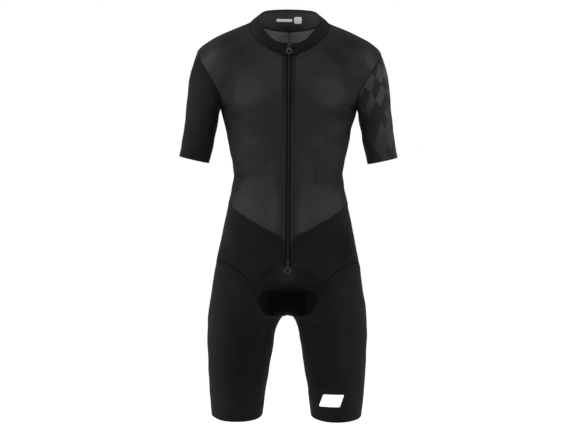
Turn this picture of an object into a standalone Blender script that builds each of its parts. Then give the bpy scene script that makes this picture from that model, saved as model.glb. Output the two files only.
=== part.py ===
"""A worn cycling skinsuit: short sleeves, stand collar, full-length front zip and knee-length shorts.

Metres, +Z up. The front faces -Y and the wearer's left side is +X. The origin is in the hollow at the
base of the neck, where the shoulders carry the suit. The cloth is a thin wall on one smooth skin, which
is read from short tables of sections, in millimetres. Each cut piece is a grid of points on that skin
between its seams. The left half is worked out and the right half is its mirror image.
"""

import math

import bmesh
import bpy
import numpy as np
from mathutils import Matrix, Vector

MM = 0.001
WALL = 1.3  # cloth thickness
COLLAR_WALL = 1.6
SEAM_GAP = 0.3

# The zip, from the middle outwards: coil, then tape up to the front panel's edge.
COIL_HALF = 2.85
TAPE_INNER = 3.0
TAPE_OUTER = 14.0
ZIP_END = -554.0  # height of the zip's lower end
TAPE_TAPER = 13.0  # the tape narrows to its end over this height
BINDING = 7.0  # width of the waist binding
BINDING_LIFT = 0.4
LEG_BAND_TOP = -840.0
LEG_HEM = -905.0
HEM_DIP = 10.0  # the leg hem hangs this much lower in front
SLIDER_HEIGHTS = {"upper": -47.5, "lower": -547.0}

CLOTH = (0.012, 0.012, 0.014)
MESH_CLOTH = (0.022, 0.022, 0.025)
METAL = (0.09, 0.09, 0.095)


class Table:
    """Rows of numbers under named columns, joined by a smooth curve over the first column."""

    def __init__(self, columns, rows):
        self.names = columns.split()
        self.rows = np.array(sorted(rows), float)
        step = np.diff(self.rows[:, 0])[:, None]
        slope = np.diff(self.rows, axis=0) / step
        inner = (slope[:-1] * step[1:] + slope[1:] * step[:-1]) / (step[:-1] + step[1:])
        self.slopes = np.vstack([slope[:1], inner, slope[-1:]])

    def at(self, value):
        knots = self.rows[:, 0]
        i = int(np.clip(np.searchsorted(knots, value) - 1, 0, len(knots) - 2))
        width = knots[i + 1] - knots[i]
        t = np.clip((value - knots[i]) / width, 0, 1)
        low, high = self.rows[i], self.rows[i + 1]
        low_slope, high_slope = self.slopes[i] * width, self.slopes[i + 1] * width
        result = (
            low * (2 * t**3 - 3 * t**2 + 1)
            + low_slope * (t**3 - 2 * t**2 + t)
            + high * (3 * t**2 - 2 * t**3)
            + high_slope * (t**3 - t**2)
        )
        return dict(zip(self.names, result))


# Level sections of one half, from the leg hem to the armpit. A section is a rounded oval about the line
# x = middle, which is 0 in the trunk and the leg's own middle below the crotch.
SECTIONS = Table(
    "height middle side front back roundness",
    [
        (-925, 116.0, 174.0, 71, 69, 2.1),
        (-905, 116.0, 175.5, 72, 70, 2.1),
        (-851, 115.5, 181.0, 77, 74, 2.1),
        (-794, 112.5, 184.7, 80, 79, 2.1),
        (-738, 109.3, 187.0, 82, 86, 2.1),
        (-696, 105.0, 187.0, 84, 92, 2.1),
        (-682, 101.2, 186.5, 85, 94, 2.1),
        (-676, 98.2, 185.9, 86, 96, 2.1),
        (-672, 92.7, 185.4, 86, 97, 2.1),
        (-660, 80.0, 184.3, 87, 101, 2.15),
        (-640, 58.0, 182.0, 89, 108, 2.2),
        (-612, 26.0, 177.0, 92, 115, 2.25),
        (-585, 7.0, 173.5, 96, 119, 2.3),
        (-555, 0.0, 169.0, 100, 118, 2.35),
        (-498, 0.0, 157.0, 103, 104, 2.4),
        (-442, 0.0, 146.0, 101, 88, 2.4),
        (-385, 0.0, 134.5, 97, 79, 2.4),
        (-343, 0.0, 129.0, 95, 84, 2.35),
        (-315, 0.0, 131.3, 98, 92, 2.35),
        (-287, 0.0, 138.0, 103, 101, 2.4),
        (-258, 0.0, 144.0, 108, 109, 2.4),
        (-230, 0.0, 149.0, 111, 113, 2.4),
        (-205, 0.0, 156.5, 112, 114, 2.4),
        (-190, 0.0, 160.5, 112, 114, 2.4),
    ],
)

# Above the armpit each row of the trunk runs from the centre line, or the neck seam, out to the armhole.
# A station is that row's place: the armpit's row is -190, the first on the neck seam -115, the last -40.
SECTION_TOP, ARMPIT, NECK_START, SHOULDER = -205.0, -190.0, -115.0, -40.0
CENTRE_LINES = Table(
    "station front_y front_z back_y back_z",
    [
        (-230, -111.0, -230, 113.0, -230),
        (-205, -112.0, -205, 114.0, -205),
        (-190, -111.0, -190, 114.5, -168),
        (-175, -108.5, -170, 113.0, -133),
        (-160, -103.0, -148, 107.0, -98),
        (-145, -93.0, -124, 97.0, -62),
        (-130, -79.0, -98, 83.0, -30),
        (-115, -62.0, -70, 66.0, 0),
    ],
)
NECK_SEAM = Table(
    "station front_x front_y front_z back_x back_y back_z",
    [
        (-115, 0.0, -62.0, -70, 0.0, 66.0, 0),
        (-100, 36.0, -54.0, -60, 35.0, 61.0, 3),
        (-85, 66.0, -40.0, -40, 62.0, 49.0, 9),
        (-70, 86.0, -22.5, -20, 81.0, 35.0, 14),
        (-55, 93.0, -7.5, -2, 91.0, 20.0, 16),
        (-40, 93.0, 5.0, 13, 93.0, 5.0, 13),
    ],
)
ARMHOLE = Table(
    "station x z front_y back_y turn roundness",
    [
        (-230, 149.0, -230, 0, 0, 90, 2.4),
        (-205, 156.5, -205, 0, 0, 90, 2.4),
        (-190, 160.5, -189, 0, 0, 80, 2.4),
        (-175, 158.3, -182, -31, 34, 66, 2.3),
        (-160, 157.6, -169, -52, 56, 57, 2.2),
        (-145, 163.0, -154, -60, 65, 52, 2.1),
        (-130, 171.5, -139, -60, 65, 50, 2.0),
        (-115, 181.0, -123, -55, 61, 50, 2.0),
        (-100, 190.5, -107, -46, 53, 52, 2.0),
        (-85, 201.5, -89, -35, 43, 60, 2.0),
        (-70, 209.5, -75, -23, 32, 68, 2.0),
        (-55, 215.2, -66, -9, 19, 77, 2.0),
        (-40, 217.5, -62, 5, 5, 86, 2.0),
    ],
)

# Rings of the sleeve from the armhole (0) to its hem (1): outer and inner point, and the depths.
SLEEVE_RINGS = Table(
    "along outer_x outer_z inner_x inner_z front back",
    [
        (0.0, 217.5, -62, 160.5, -189, 58, 63),
        (0.15, 225.5, -84, 163.5, -198, 60, 63),
        (0.4, 235.0, -125, 165.0, -213, 58, 62),
        (0.6, 239.5, -176, 168.5, -236, 56, 60),
        (0.8, 246.5, -243, 176.5, -277, 53, 57),
        (1.0, 256.0, -302, 186.5, -317, 50, 54),
    ],
)

# The collar's upper edge, from the coil (share 0) round the side to the back (share 1).
COLLAR_TOP = Table(
    "share x y z",
    [
        (0.00, 0.0, -50.0, -40),
        (0.11, 25.0, -47.3, -37.5),
        (0.22, 44.0, -38.5, -25),
        (0.33, 61.0, -25.5, -3),
        (0.45, 72.0, -8.0, 18),
        (0.56, 71.0, 9.0, 32),
        (0.69, 61.0, 29.5, 43.5),
        (0.83, 38.0, 45.0, 49.5),
        (1.00, 0.0, 52.0, 52),
    ],
)

# Seams that cross the sections: height at each angle round the section, 90 at the side, front then back.
WAIST_SEAM = Table("angle front back", [(0, -496, -394), (30, -456, -396), (64, -424, -401), (90, -408, -408)])
HIP_SEAM = Table(
    "angle front back",
    [
        (-90, -677, -677),
        (-64, -675, -677),
        (-34, -671, -675),
        (-13, -660, -664),
        (4, -638, -643),
        (17, -614, -620),
        (29, -583, -589),
        (43, -561, -566),
        (90, -543, -543),
    ],
)
INSERT_TOP = {"front": -609.0, "back": -615.0}  # the crotch insert's upper seam at the centre line
INSERT_CORNER = 15.0  # angle at which that seam meets the hip seam

# Grid counts. Pieces on either side of a seam share its points, so they share these counts.
ACROSS = 12  # columns of a trunk panel
INSERT_COLUMNS = 5  # of those columns, the ones above the insert
INSERT_ROWS = 6
TRUNK_ROWS = 9
LEG_ROWS = 9
BAND_ROWS = 2
SLEEVE_ROWS = 8
COLLAR_ROWS = 3
ZIP_FOOT = [ZIP_END + 0.4, ZIP_END + 4, ZIP_END + TAPE_TAPER]  # heights of the tape's tapered points
YOKE_HEIGHTS = [-585, ZIP_END - 1.5, *ZIP_FOOT, -522]  # rows of the yoke and seat at the middle
ARMPIT_STATIONS = list(np.linspace(ARMPIT, NECK_START, 6))
NECK_STATIONS = list(np.linspace(NECK_START, SHOULDER, 9))
STATIONS = ARMPIT_STATIONS + NECK_STATIONS[1:]

# Above the crotch point the dip between the two thighs is filled out over this width on each side.
CROTCH, FILL_TOP, FILL_WIDTH, FILL_FADE = -672.0, -560.0, 45.0, 40.0


def power(value, exponent):
    return math.copysign(abs(value) ** exponent, value)


def row_ends(station, facing):
    """The inner and outer ends of the skin's row at a station, its turn in degrees and its roundness."""
    side = "front" if facing < 0 else "back"
    if station <= SECTION_TOP:
        s = SECTIONS.at(station)
        inner = (max(s["middle"], 0.0), facing * s[side], station)
        return inner, (s["side"], 0.0, station), 90.0, s["roundness"]
    a = ARMHOLE.at(station)
    outer = (a["x"], a[side + "_y"], a["z"])
    if station <= NECK_START:
        c = CENTRE_LINES.at(station)
        inner = (0.0, c[side + "_y"], c[side + "_z"])
    else:
        n = NECK_SEAM.at(station)
        inner = (n[side + "_x"], n[side + "_y"], n[side + "_z"])
    return inner, outer, a["turn"], a["roundness"]


def skin(station, angle, facing):
    """The point of the left half's skin on a row; angle is 0 at the row's middle and 90 at its outer end."""
    inner, outer, turn, roundness = row_ends(station, facing)
    bend, end = math.radians(angle * turn / 90), math.radians(turn)
    e = 2 / roundness
    across = power(math.sin(bend), e) / power(math.sin(end), e)
    rest = power(max(math.cos(end), 0), e)
    deep = (power(max(math.cos(bend), 0), e) - rest) / (1 - rest)
    x = inner[0] + (outer[0] - inner[0]) * across
    y = outer[1] + (inner[1] - outer[1]) * deep + facing * cleft_fill(station, x, inner, outer)
    z = inner[2] + (outer[2] - inner[2]) * angle / 90
    return np.array([x, y, z])


def cleft_fill(station, x, inner, outer):
    """Extra depth above the crotch that lets the two halves meet smoothly at the middle."""
    middle, reach = inner[0], outer[0] - inner[0]
    if not CROTCH < station < FILL_TOP or middle >= reach:
        return 0.0
    width = FILL_WIDTH * min(middle / FILL_WIDTH, 1)
    slope = min(abs(inner[1]) * middle / (reach * math.sqrt(reach**2 - middle**2)), 1)
    fade = min((station - CROTCH) / FILL_FADE, 1)
    return fade * slope * width / 2 * max(1 - x / max(width, 0.01), 0) ** 2


def angle_at(station, x, facing):
    """The angle at which the row at a station passes a distance x from the middle of the suit."""
    inner, outer, turn, roundness = row_ends(station, facing)
    share = (x - inner[0]) / (outer[0] - inner[0])
    sine = power(share, roundness / 2) * math.sin(math.radians(turn))
    return math.degrees(math.asin(np.clip(sine, -1, 1))) * 90 / turn


def zip_edge(height):
    """How far from the middle the tape's outer edge is; it closes on the coil at the zip's end."""
    t = np.clip((height - ZIP_END) / TAPE_TAPER, 0, 1)
    return TAPE_INNER + (TAPE_OUTER - TAPE_INNER) * math.sqrt(t * (2 - t))


def lerp(low, high, t):
    return low + (high - low) * t


def steps(count):
    return [i / count for i in range(count + 1)]


# Panels of the left half. Each is an array of rows, from low to high, with columns that run round the
# body from the front to the side to the back, so that its faces point out.


def waist_edge(share, facing, offset):
    """A point, as station and angle, on the waist binding's edge; share is 0 at the front or back middle."""
    side = "front" if facing < 0 else "back"
    start = angle_at(WAIST_SEAM.at(0)[side], TAPE_OUTER, facing) if facing < 0 else 0.0
    angle = lerp(start, 90, share)
    return WAIST_SEAM.at(angle)[side] + offset, angle


def trunk_panel(facing):
    """Front or back mesh panel, from the waist binding up to the shoulder seam."""
    rows = []
    for up in steps(TRUNK_ROWS):
        row = []
        for share in steps(ACROSS):
            low, _ = waist_edge(share, facing, BINDING / 2)
            station = lerp(low, SECTION_TOP, up)
            start = angle_at(station, TAPE_OUTER, facing) if facing < 0 else 0.0
            row.append(skin(station, lerp(start, 90, share), facing))
        rows.append(row)
    for station in STATIONS:
        start = angle_at(station, TAPE_OUTER, facing) if facing < 0 and station <= NECK_START else 0.0
        rows.append([skin(station, lerp(start, 90, share), facing) for share in steps(ACROSS)])
    return turned(rows, facing)


def turned(rows, facing):
    """Rows in the order that faces them out: a back piece's columns run from the side to the middle."""
    rows = np.array(rows)
    return rows if facing < 0 else rows[:, ::-1]


def binding_panel(facing):
    rows = []
    for offset in (-BINDING / 2, BINDING / 2):
        row = []
        for share in steps(ACROSS):
            station, angle = waist_edge(share, facing, offset)
            start = angle_at(station, TAPE_OUTER, facing) if facing < 0 else 0.0
            row.append(skin(station, lerp(start, 90, share), facing))
        rows.append(row)
    return turned(rows, facing)


def hip_points(facing):
    """Stations and angles along the hip seam, from the side to the insert's corner, then to the inseam."""
    side = "front" if facing < 0 else "back"
    outer = [lerp(90, INSERT_CORNER, t) for t in steps(ACROSS - INSERT_COLUMNS)]
    inner = [lerp(INSERT_CORNER, -90, t) for t in steps(INSERT_ROWS)][1:]
    return [(HIP_SEAM.at(a)[side], a) for a in outer], [(HIP_SEAM.at(a)[side], a) for a in inner]


def insert_edge(facing):
    """Points of the insert's upper seam, from the middle to its corner on the hip seam."""
    side = "front" if facing < 0 else "back"
    corner = HIP_SEAM.at(INSERT_CORNER)[side]
    points = []
    for t in steps(INSERT_COLUMNS):
        station = lerp(INSERT_TOP[side], corner, t**2.5)
        start = angle_at(station, 0.0, facing)
        points.append((station, lerp(start, INSERT_CORNER, t)))
    return points


def hip_panel(facing):
    """Front yoke or seat panel, between the waist binding and the hip and insert seams."""
    outer, _ = hip_points(facing)
    low = insert_edge(facing) + outer[::-1][1:]
    first, last = waist_edge(0, facing, -BINDING / 2)[0], low[0][0]
    rows = []
    for height in (last, *YOKE_HEIGHTS, first):
        down = (first - height) / (first - last)
        row = []
        for i, share in enumerate(steps(ACROSS)):
            top, _ = waist_edge(share, facing, -BINDING / 2)
            station = lerp(top, low[i][0], down)
            start = angle_at(station, zip_edge(station) if facing < 0 else 0.0, facing)
            if facing > 0 or station < ZIP_END:
                start = angle_at(station, 0.0, facing)
            top_angle = lerp(start, 90, share)
            bottom_angle = lerp(start, 90, (low[i][1] - low[0][1]) / (90 - low[0][1]))
            row.append(skin(station, lerp(top_angle, bottom_angle, down), facing))
        rows.append(row)
    rows[0] = [skin(station, angle, facing) for station, angle in low]
    return turned(rows, facing)


def insert_half(facing):
    """Half of the insert on one side of the body: rows from its upper seam down to the inseam."""
    _, hip = hip_points(facing)
    top = insert_edge(facing)
    middle = [lerp(top[0][0], CROTCH, math.sin(math.radians(90 * t))) for t in steps(INSERT_ROWS)]
    rows = [[skin(station, angle, facing) for station, angle in top]]
    for j in range(1, INSERT_ROWS + 1):
        start = angle_at(middle[j], 0.0, facing)
        end_station, end_angle = hip[j - 1]
        row = []
        for t in steps(INSERT_COLUMNS):
            station = lerp(middle[j], end_station, t ** lerp(1, 1.8, j / INSERT_ROWS))
            angle = max(lerp(start, end_angle, t), angle_at(station, 0.0, facing))
            row.append(skin(station, angle, facing))
        rows.append(row)
    return np.array(rows)


def insert_panel():
    """The whole crotch insert: from its back upper seam, under the crotch, to its front upper seam."""
    half = np.concatenate([insert_half(1), insert_half(-1)[::-1][1:]])
    return np.concatenate([mirrored(half)[:, :-1], half], axis=1)


def leg_outline():
    """The leg's columns, from the front of the inseam round to it again, as (station, angle, facing)."""
    outline = []
    for facing in (-1, 1):
        outer, inner = hip_points(facing)
        points = [(station, angle, facing) for station, angle in (outer + inner)]
        outline += points[::-1] if facing < 0 else points[1:]
    return outline[:-1]


def band_angle(i, count):
    """Even angles round the leg for column i, from the inseam (-90) over the side (90) and back."""
    angle = 360 * i / count
    return angle - 90 if angle <= 180 else 270 - angle


def hem_height(angle, facing, base, dip):
    return base - dip * math.cos(math.radians(angle)) * (1 if facing < 0 else -0.2)


def leg_panel():
    outline = leg_outline()
    rows = []
    for up in steps(LEG_ROWS):
        row = []
        for i, (top, angle, facing) in enumerate(outline):
            even = band_angle(i, len(outline))
            low = hem_height(even, facing, LEG_BAND_TOP, HEM_DIP * 0.7)
            row.append(skin(lerp(low, top, up), lerp(even, angle, up**1.5), facing))
        rows.append(row)
    return np.array(rows)


def band_panel():
    outline = leg_outline()
    rows = []
    for up in steps(BAND_ROWS):
        row = []
        for i, (_, _, facing) in enumerate(outline):
            even = band_angle(i, len(outline))
            low = hem_height(even, facing, LEG_HEM, HEM_DIP)
            high = hem_height(even, facing, LEG_BAND_TOP, HEM_DIP * 0.7)
            row.append(skin(lerp(low, high, up), even, facing))
        rows.append(row)
    return np.array(rows)


def armhole_loop():
    """The armhole's points, from the armpit up the front and down the back."""
    front = [skin(station, 90, -1) for station in STATIONS]
    back = [skin(station, 90, 1) for station in STATIONS]
    return np.array(front + back[::-1][1:-1])


def sleeve_panel():
    """The sleeve, lofted from the armhole's own points through its rings down to the hem."""
    loop = armhole_loop()

    def ring_point(ring, turn):
        centre_x, centre_z = (ring["outer_x"] + ring["inner_x"]) / 2, (ring["outer_z"] + ring["inner_z"]) / 2
        along_x, along_z = ring["outer_x"] - centre_x, ring["outer_z"] - centre_z
        depth = ring["front"] if math.sin(turn) > 0 else ring["back"]
        c, s = math.cos(turn), math.sin(turn)
        return np.array([centre_x + along_x * c, -depth * s, centre_z + along_z * c])

    first = SLEEVE_RINGS.at(0)
    centre = np.array([(first["outer_x"] + first["inner_x"]) / 2, 0, (first["outer_z"] + first["inner_z"]) / 2])
    along = np.array([first["outer_x"], 0, first["outer_z"]]) - centre
    rows = []
    for share in steps(SLEEVE_ROWS)[::-1]:
        ring, row = SLEEVE_RINGS.at(share), []
        for i, point in enumerate(loop):
            depth = first["front"] if point[1] < 0 else first["back"]
            own = math.atan2(-point[1] / depth, (point - centre) @ along / (along @ along))
            own = own % math.tau
            even = (math.pi - math.tau * i / len(loop)) % math.tau
            even += math.tau * round((own - even) / math.tau)
            lift = (point - ring_point(first, own)) * (1 - share) ** 2
            row.append(ring_point(ring, lerp(own, even, share)) + lift)
        rows.append(row)
    return np.array(rows)


def collar_top(share):
    """The collar's upper edge; share is 0 beside the coil and 1 at the back."""
    edge = COLLAR_TOP.at(share)
    return np.array([edge["x"], edge["y"], edge["z"]])


def collar_panel():
    """The stand collar, from beside the coil on one side round the neck to the other."""
    base = [skin(NECK_START, angle_at(NECK_START, TAPE_INNER, -1), -1)]
    base += [skin(NECK_START, angle_at(NECK_START, TAPE_OUTER, -1), -1)]
    base += [skin(station, 0, -1) for station in NECK_STATIONS[1:]]
    base += [skin(station, 0, 1) for station in NECK_STATIONS[-2::-1]]
    base = np.array(base)
    lengths = np.concatenate([[0], np.cumsum(np.linalg.norm(np.diff(base, axis=0), axis=1))])
    rows = []
    for up in steps(COLLAR_ROWS):
        row = []
        for point, length in zip(base, lengths):
            top = collar_top(length / lengths[-1])
            out = np.array([point[0], point[1], 0]) / np.linalg.norm(point[:2])
            row.append(lerp(point, top, up) + out * 4 * up * (1 - up) * 1.5)
        rows.append(row)
    half = np.array(rows)
    half[:, 0, 0] = TAPE_INNER
    half[:, -1, 0] = 0
    return np.concatenate([half, mirrored(half)[:, 1:]], axis=1)


def centre_front(height):
    """The point of the zip's line at a height: on the skin, and above the neck seam on the collar."""
    neck, top = skin(NECK_START, 0, -1), collar_top(0)
    if height <= SECTION_TOP:
        return skin(height, angle_at(height, 0.0, -1), -1)
    if height >= neck[2]:
        up = (height - neck[2]) / (top[2] - neck[2])
        bulge = 4 * up * (1 - up) * 1.5
        return np.array([0, lerp(neck[1], top[1], up) - bulge, height])
    low, high = SECTION_TOP, NECK_START
    for _ in range(30):
        station = (low + high) / 2
        low, high = (station, high) if CENTRE_LINES.at(station)["front_z"] < height else (low, station)
    return skin(low, 0, -1)


def tape_panel():
    """The zip tape beside the coil, from the zip's end up to the collar."""
    stations = ZIP_FOOT + list(np.linspace(-530, SECTION_TOP, 14)) + ARMPIT_STATIONS
    rows = []
    for station in stations:
        edges = (TAPE_INNER, max(zip_edge(station), TAPE_INNER + 1.2))
        rows.append([skin(station, angle_at(station, x, -1), -1) for x in edges])
    return np.array(rows)


def coil_panel():
    """The closed coil: a narrow strip along the zip's line that stands a little proud of the tapes."""
    heights = list(np.linspace(ZIP_END, SECTION_TOP, 16)) + list(np.linspace(-190, -70, 8))
    heights += list(np.linspace(-60, collar_top(0)[2], 3))
    points = np.array([centre_front(height) for height in heights])
    out = np.gradient(points, axis=0)[:, [0, 2, 1]] * [1, -1, 1]
    out /= np.linalg.norm(out, axis=1)[:, None]
    columns = [(-COIL_HALF, 0.3), (-1.2, 1.0), (1.2, 1.0), (COIL_HALF, 0.3)]
    return np.stack([points + [x, 0, 0] + out * rise for x, rise in columns], axis=1)


# From grids to solids.


def mirrored(grid):
    """The right half's grid, with its columns turned round so that its faces still point out."""
    return grid[:, ::-1] * [-1, 1, 1]


def key(point):
    return tuple(np.round(np.abs(point), 2) * [np.sign(point[0]) if abs(point[0]) > 0.01 else 0, 1, 1]) + (
        bool(point[1] > 0),
        bool(point[2] > 0),
    )


def cell_normals(grid, closed):
    """The normal of each cell of a grid, as long as the cell's area."""
    right = np.roll(grid, -1, axis=1) if closed else grid[:, 1:]
    left = grid if closed else grid[:, :-1]
    return np.cross(right[1:] - left[:-1], left[1:] - right[:-1]) / 2


def point_normals(panels):
    """Outward normals by place, shared by all panels that meet there, so that walls meet at their seams."""
    total = {}
    for grid, closed in panels.values():
        cells = cell_normals(grid, closed)
        rows, columns = grid.shape[:2]
        for i in range(rows - 1):
            for j in range(cells.shape[1]):
                corners = [(i, j), (i, (j + 1) % columns), (i + 1, j), (i + 1, (j + 1) % columns)]
                for corner in corners:
                    place = key(grid[corner])
                    total[place] = total.get(place, 0) + cells[i, j]
    return total


def shell(grid, closed, normals, wall, lift, free):
    """Vertices and faces of a thin wall under a grid, drawn in from each seam by half the seam gap."""
    rows, columns = grid.shape[:2]
    out = np.array([[normals[key(point)] for point in row] for row in grid])
    out /= np.linalg.norm(out, axis=2)[..., None]
    along = np.gradient(grid, axis=1)
    if closed:
        along = (np.roll(grid, -1, axis=1) - np.roll(grid, 1, axis=1)) / 2
    up = np.gradient(grid, axis=0)
    inward = {"low": np.cross(out, along), "high": -np.cross(out, along)}
    inward.update({"start": np.cross(up, out), "end": -np.cross(up, out)})
    places = {"low": np.s_[0, :], "high": np.s_[-1, :], "start": np.s_[:, 0], "end": np.s_[:, -1]}
    shift = np.zeros_like(grid)
    for side, place in places.items():
        if side in free or (closed and side in ("start", "end")):
            continue
        direction = inward[side][place]
        shift[place] += direction / np.linalg.norm(direction, axis=1)[:, None] * SEAM_GAP / 2
    outer = grid + shift + out * lift
    inner = grid + shift - out * wall
    count = rows * columns
    faces = []
    for i in range(rows - 1):
        for j in range(columns if closed else columns - 1):
            a, b = i * columns + j, i * columns + (j + 1) % columns
            c, d = b + columns, a + columns
            faces += [(a, b, c, d), (a + count, d + count, c + count, b + count)]
    loop = [(i * columns, (i + 1) * columns) for i in range(rows - 1)]
    edges = [] if closed else [(b, a) for a, b in loop]
    edges += [] if closed else [(a + columns - 1, b + columns - 1) for a, b in loop]
    for j in range(columns if closed else columns - 1):
        a, b = j, (j + 1) % columns
        edges += [(a, b), (b + count - columns, a + count - columns)]
    faces += [(b, a, a + count, b + count) for a, b in edges]
    return np.concatenate([outer.reshape(-1, 3), inner.reshape(-1, 3)]), faces


def material(name, color, roughness, metallic=0.0):
    made = bpy.data.materials.get(name) or bpy.data.materials.new(name)
    made.use_nodes = True
    shader = made.node_tree.nodes["Principled BSDF"]
    shader.inputs["Base Color"].default_value = (*color, 1)
    shader.inputs["Roughness"].default_value = roughness
    shader.inputs["Metallic"].default_value = metallic
    return made


def add_object(name, mesh, finish):
    made = bpy.data.objects.new(name, mesh)
    bpy.context.scene.collection.objects.link(made)
    mesh.materials.append(finish)
    return made


def add_cloth(name, vertices, faces, finish):
    mesh = bpy.data.meshes.new(name)
    mesh.from_pydata((vertices * MM).tolist(), [], faces)
    edit = bmesh.new()
    edit.from_mesh(mesh)
    bmesh.ops.triangulate(edit, faces=edit.faces[:])
    edit.to_mesh(mesh)
    edit.free()
    mesh.shade_smooth()
    mesh.set_sharp_from_angle(angle=math.radians(40))
    return add_object(name, mesh, finish)


def cloth_panels():
    """Every cloth piece: its grid, whether it closes round a limb, its wall, lift, free edges and finish."""
    knit = material("mesh_knit", MESH_CLOTH, 0.75)
    smooth = material("smooth_knit", CLOTH, 0.62)
    tape = material("zip_tape", CLOTH, 0.7)
    binding = np.concatenate([binding_panel(-1), binding_panel(1)[:, 1:]], axis=1)
    left = {
        "front": (trunk_panel(-1), False, WALL, 0, (), knit),
        "back": (trunk_panel(1), False, WALL, 0, (), knit),
        "waist_binding": (binding, False, WALL, BINDING_LIFT, (), smooth),
        "front_yoke": (hip_panel(-1), False, WALL, 0, (), smooth),
        "seat": (hip_panel(1), False, WALL, 0, (), smooth),
        "leg": (leg_panel(), True, WALL, 0, (), smooth),
        "leg_band": (band_panel(), True, WALL, 0, ("low",), smooth),
        "sleeve": (sleeve_panel(), True, WALL, 0, ("low",), smooth),
        "zip_tape": (tape_panel(), False, WALL, 0.2, (), tape),
    }
    pieces = {}
    for name, (grid, *rest) in left.items():
        pieces[name + "_left"] = (grid, *rest)
        pieces[name + "_right"] = (mirrored(grid), *rest)
    pieces["collar"] = (collar_panel(), False, COLLAR_WALL, 0, ("high",), smooth)
    pieces["crotch_insert"] = (insert_panel(), False, WALL, 0, (), smooth)
    pieces["zip_coil"] = (coil_panel(), False, WALL, 0, (), material("coil", CLOTH, 0.45))
    return pieces


def build_cloth():
    pieces = cloth_panels()
    normals = point_normals({name: piece[:2] for name, piece in pieces.items()})
    for name, (grid, closed, wall, lift, free, finish) in pieces.items():
        add_cloth(name, *shell(grid, closed, normals, wall, lift, free), finish)


# The sliders and their ring pulls, in millimetres about the pull's hinge: x across, y out, z up.
AXIS_OUT = 3.2  # from the coil's crest to the hinge
SLIDER_BACK = 0.3  # from the coil's crest to the slider
SLIDER_FACE = 2.3
SLIDER_TOP, SLIDER_FOOT = 5.5, -5.5
SLIDER_HALF_TOP, SLIDER_HALF_FOOT = 4.3, 3.3
BRIDGE_HALF, BRIDGE_BAR = 1.0, 0.8
BAR_RADIUS = 0.5
EYE_HALF = 2.6  # outer half width of the pull's eye
WINDOW_HALF, WINDOW_FOOT = 1.6, -6.4  # the eye's hole below the bar
RING_CENTRE, RING_OUTER, RING_HOLE = -18.0, 7.6, 4.0
PULL_HALF = 0.9  # half the pull's thickness
SEGMENTS = 24


def add_solid(name, edit, finish):
    bmesh.ops.recalc_face_normals(edit, faces=edit.faces[:])
    mesh = bpy.data.meshes.new(name)
    edit.to_mesh(mesh)
    edit.free()
    mesh.shade_smooth()
    mesh.set_sharp_from_angle(angle=math.radians(40))
    return add_object(name, mesh, finish)


def prism(outline, low, high, axis):
    """A closed solid with the given outline in the plane across an axis, from low to high along it."""
    edit = bmesh.new()
    rings = []
    for level in (low, high):
        points = [{"x": (level, a, b), "y": (a, level, b)}[axis] for a, b in outline]
        rings.append([edit.verts.new(Vector(point) * MM) for point in points])
    for a, b in zip(range(len(outline)), [*range(1, len(outline)), 0]):
        edit.faces.new((rings[0][a], rings[0][b], rings[1][b], rings[1][a]))
    edit.faces.new(rings[0])
    edit.faces.new(rings[1])
    return edit


def washer(centre, outer, hole, half):
    """A flat ring with rounded edges in the x-z plane; outer and hole are half widths in x and in z."""
    edit = bmesh.new()
    profile = [(0.0, 0.55), (0.22, 1.0), (0.78, 1.0), (1.0, 0.55)]
    profile += [(share, -depth) for share, depth in profile[::-1]]
    loops = []
    for share, depth in profile:
        radius = [lerp(h, o, share) for h, o in zip(hole, outer)]
        turns = [math.tau * i / SEGMENTS for i in range(SEGMENTS)]
        loops.append(
            [
                edit.verts.new(
                    Vector((radius[0] * math.cos(t), depth * half, centre + radius[1] * math.sin(t))) * MM
                )
                for t in turns
            ]
        )
    for low, high in zip(loops, loops[1:] + loops[:1]):
        for i in range(SEGMENTS):
            j = (i + 1) % SEGMENTS
            edit.faces.new((low[i], low[j], high[j], high[i]))
    return edit


def join_to(base, parts):
    """Unite closed parts with a base object through Boolean modifiers."""
    for i, part in enumerate(parts):
        part.hide_render = True
        part.display_type = "WIRE"
        part.parent = base
        union = base.modifiers.new(f"union_{i}", "BOOLEAN")
        union.operation = "UNION"
        union.solver = "EXACT"
        union.object = part


def slider_solid(name, finish):
    back, face = SLIDER_BACK - AXIS_OUT, SLIDER_FACE - AXIS_OUT
    top, foot, wide, narrow = SLIDER_TOP, SLIDER_FOOT, SLIDER_HALF_TOP, SLIDER_HALF_FOOT
    half = [(wide * 0.55, top), (wide, top - 1.6), (wide, 1.0), (narrow, -2.0), (narrow, foot + 0.8)]
    half += [(narrow * 0.6, foot)]
    outline = half + [(-x, z) for x, z in half[::-1]]
    body = add_solid(name, prism(outline, -face, -back, "y"), finish)
    arch = [(face - 0.4, -3.4), (1.5, -2.6), (1.9, 0.0), (1.5, 2.6), (face - 0.4, 3.4)]
    inside = [(face - 0.4, 3.4 - BRIDGE_BAR), (0.85, 1.9), (1.1, 0.0), (0.85, -1.9)]
    inside += [(face - 0.4, BRIDGE_BAR - 3.4)]
    profile = [(-a, b) for a, b in arch + inside]
    bridge = add_solid(name + "_bridge", prism(profile, -BRIDGE_HALF, BRIDGE_HALF, "x"), finish)
    join_to(body, [bridge])
    return body


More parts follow.
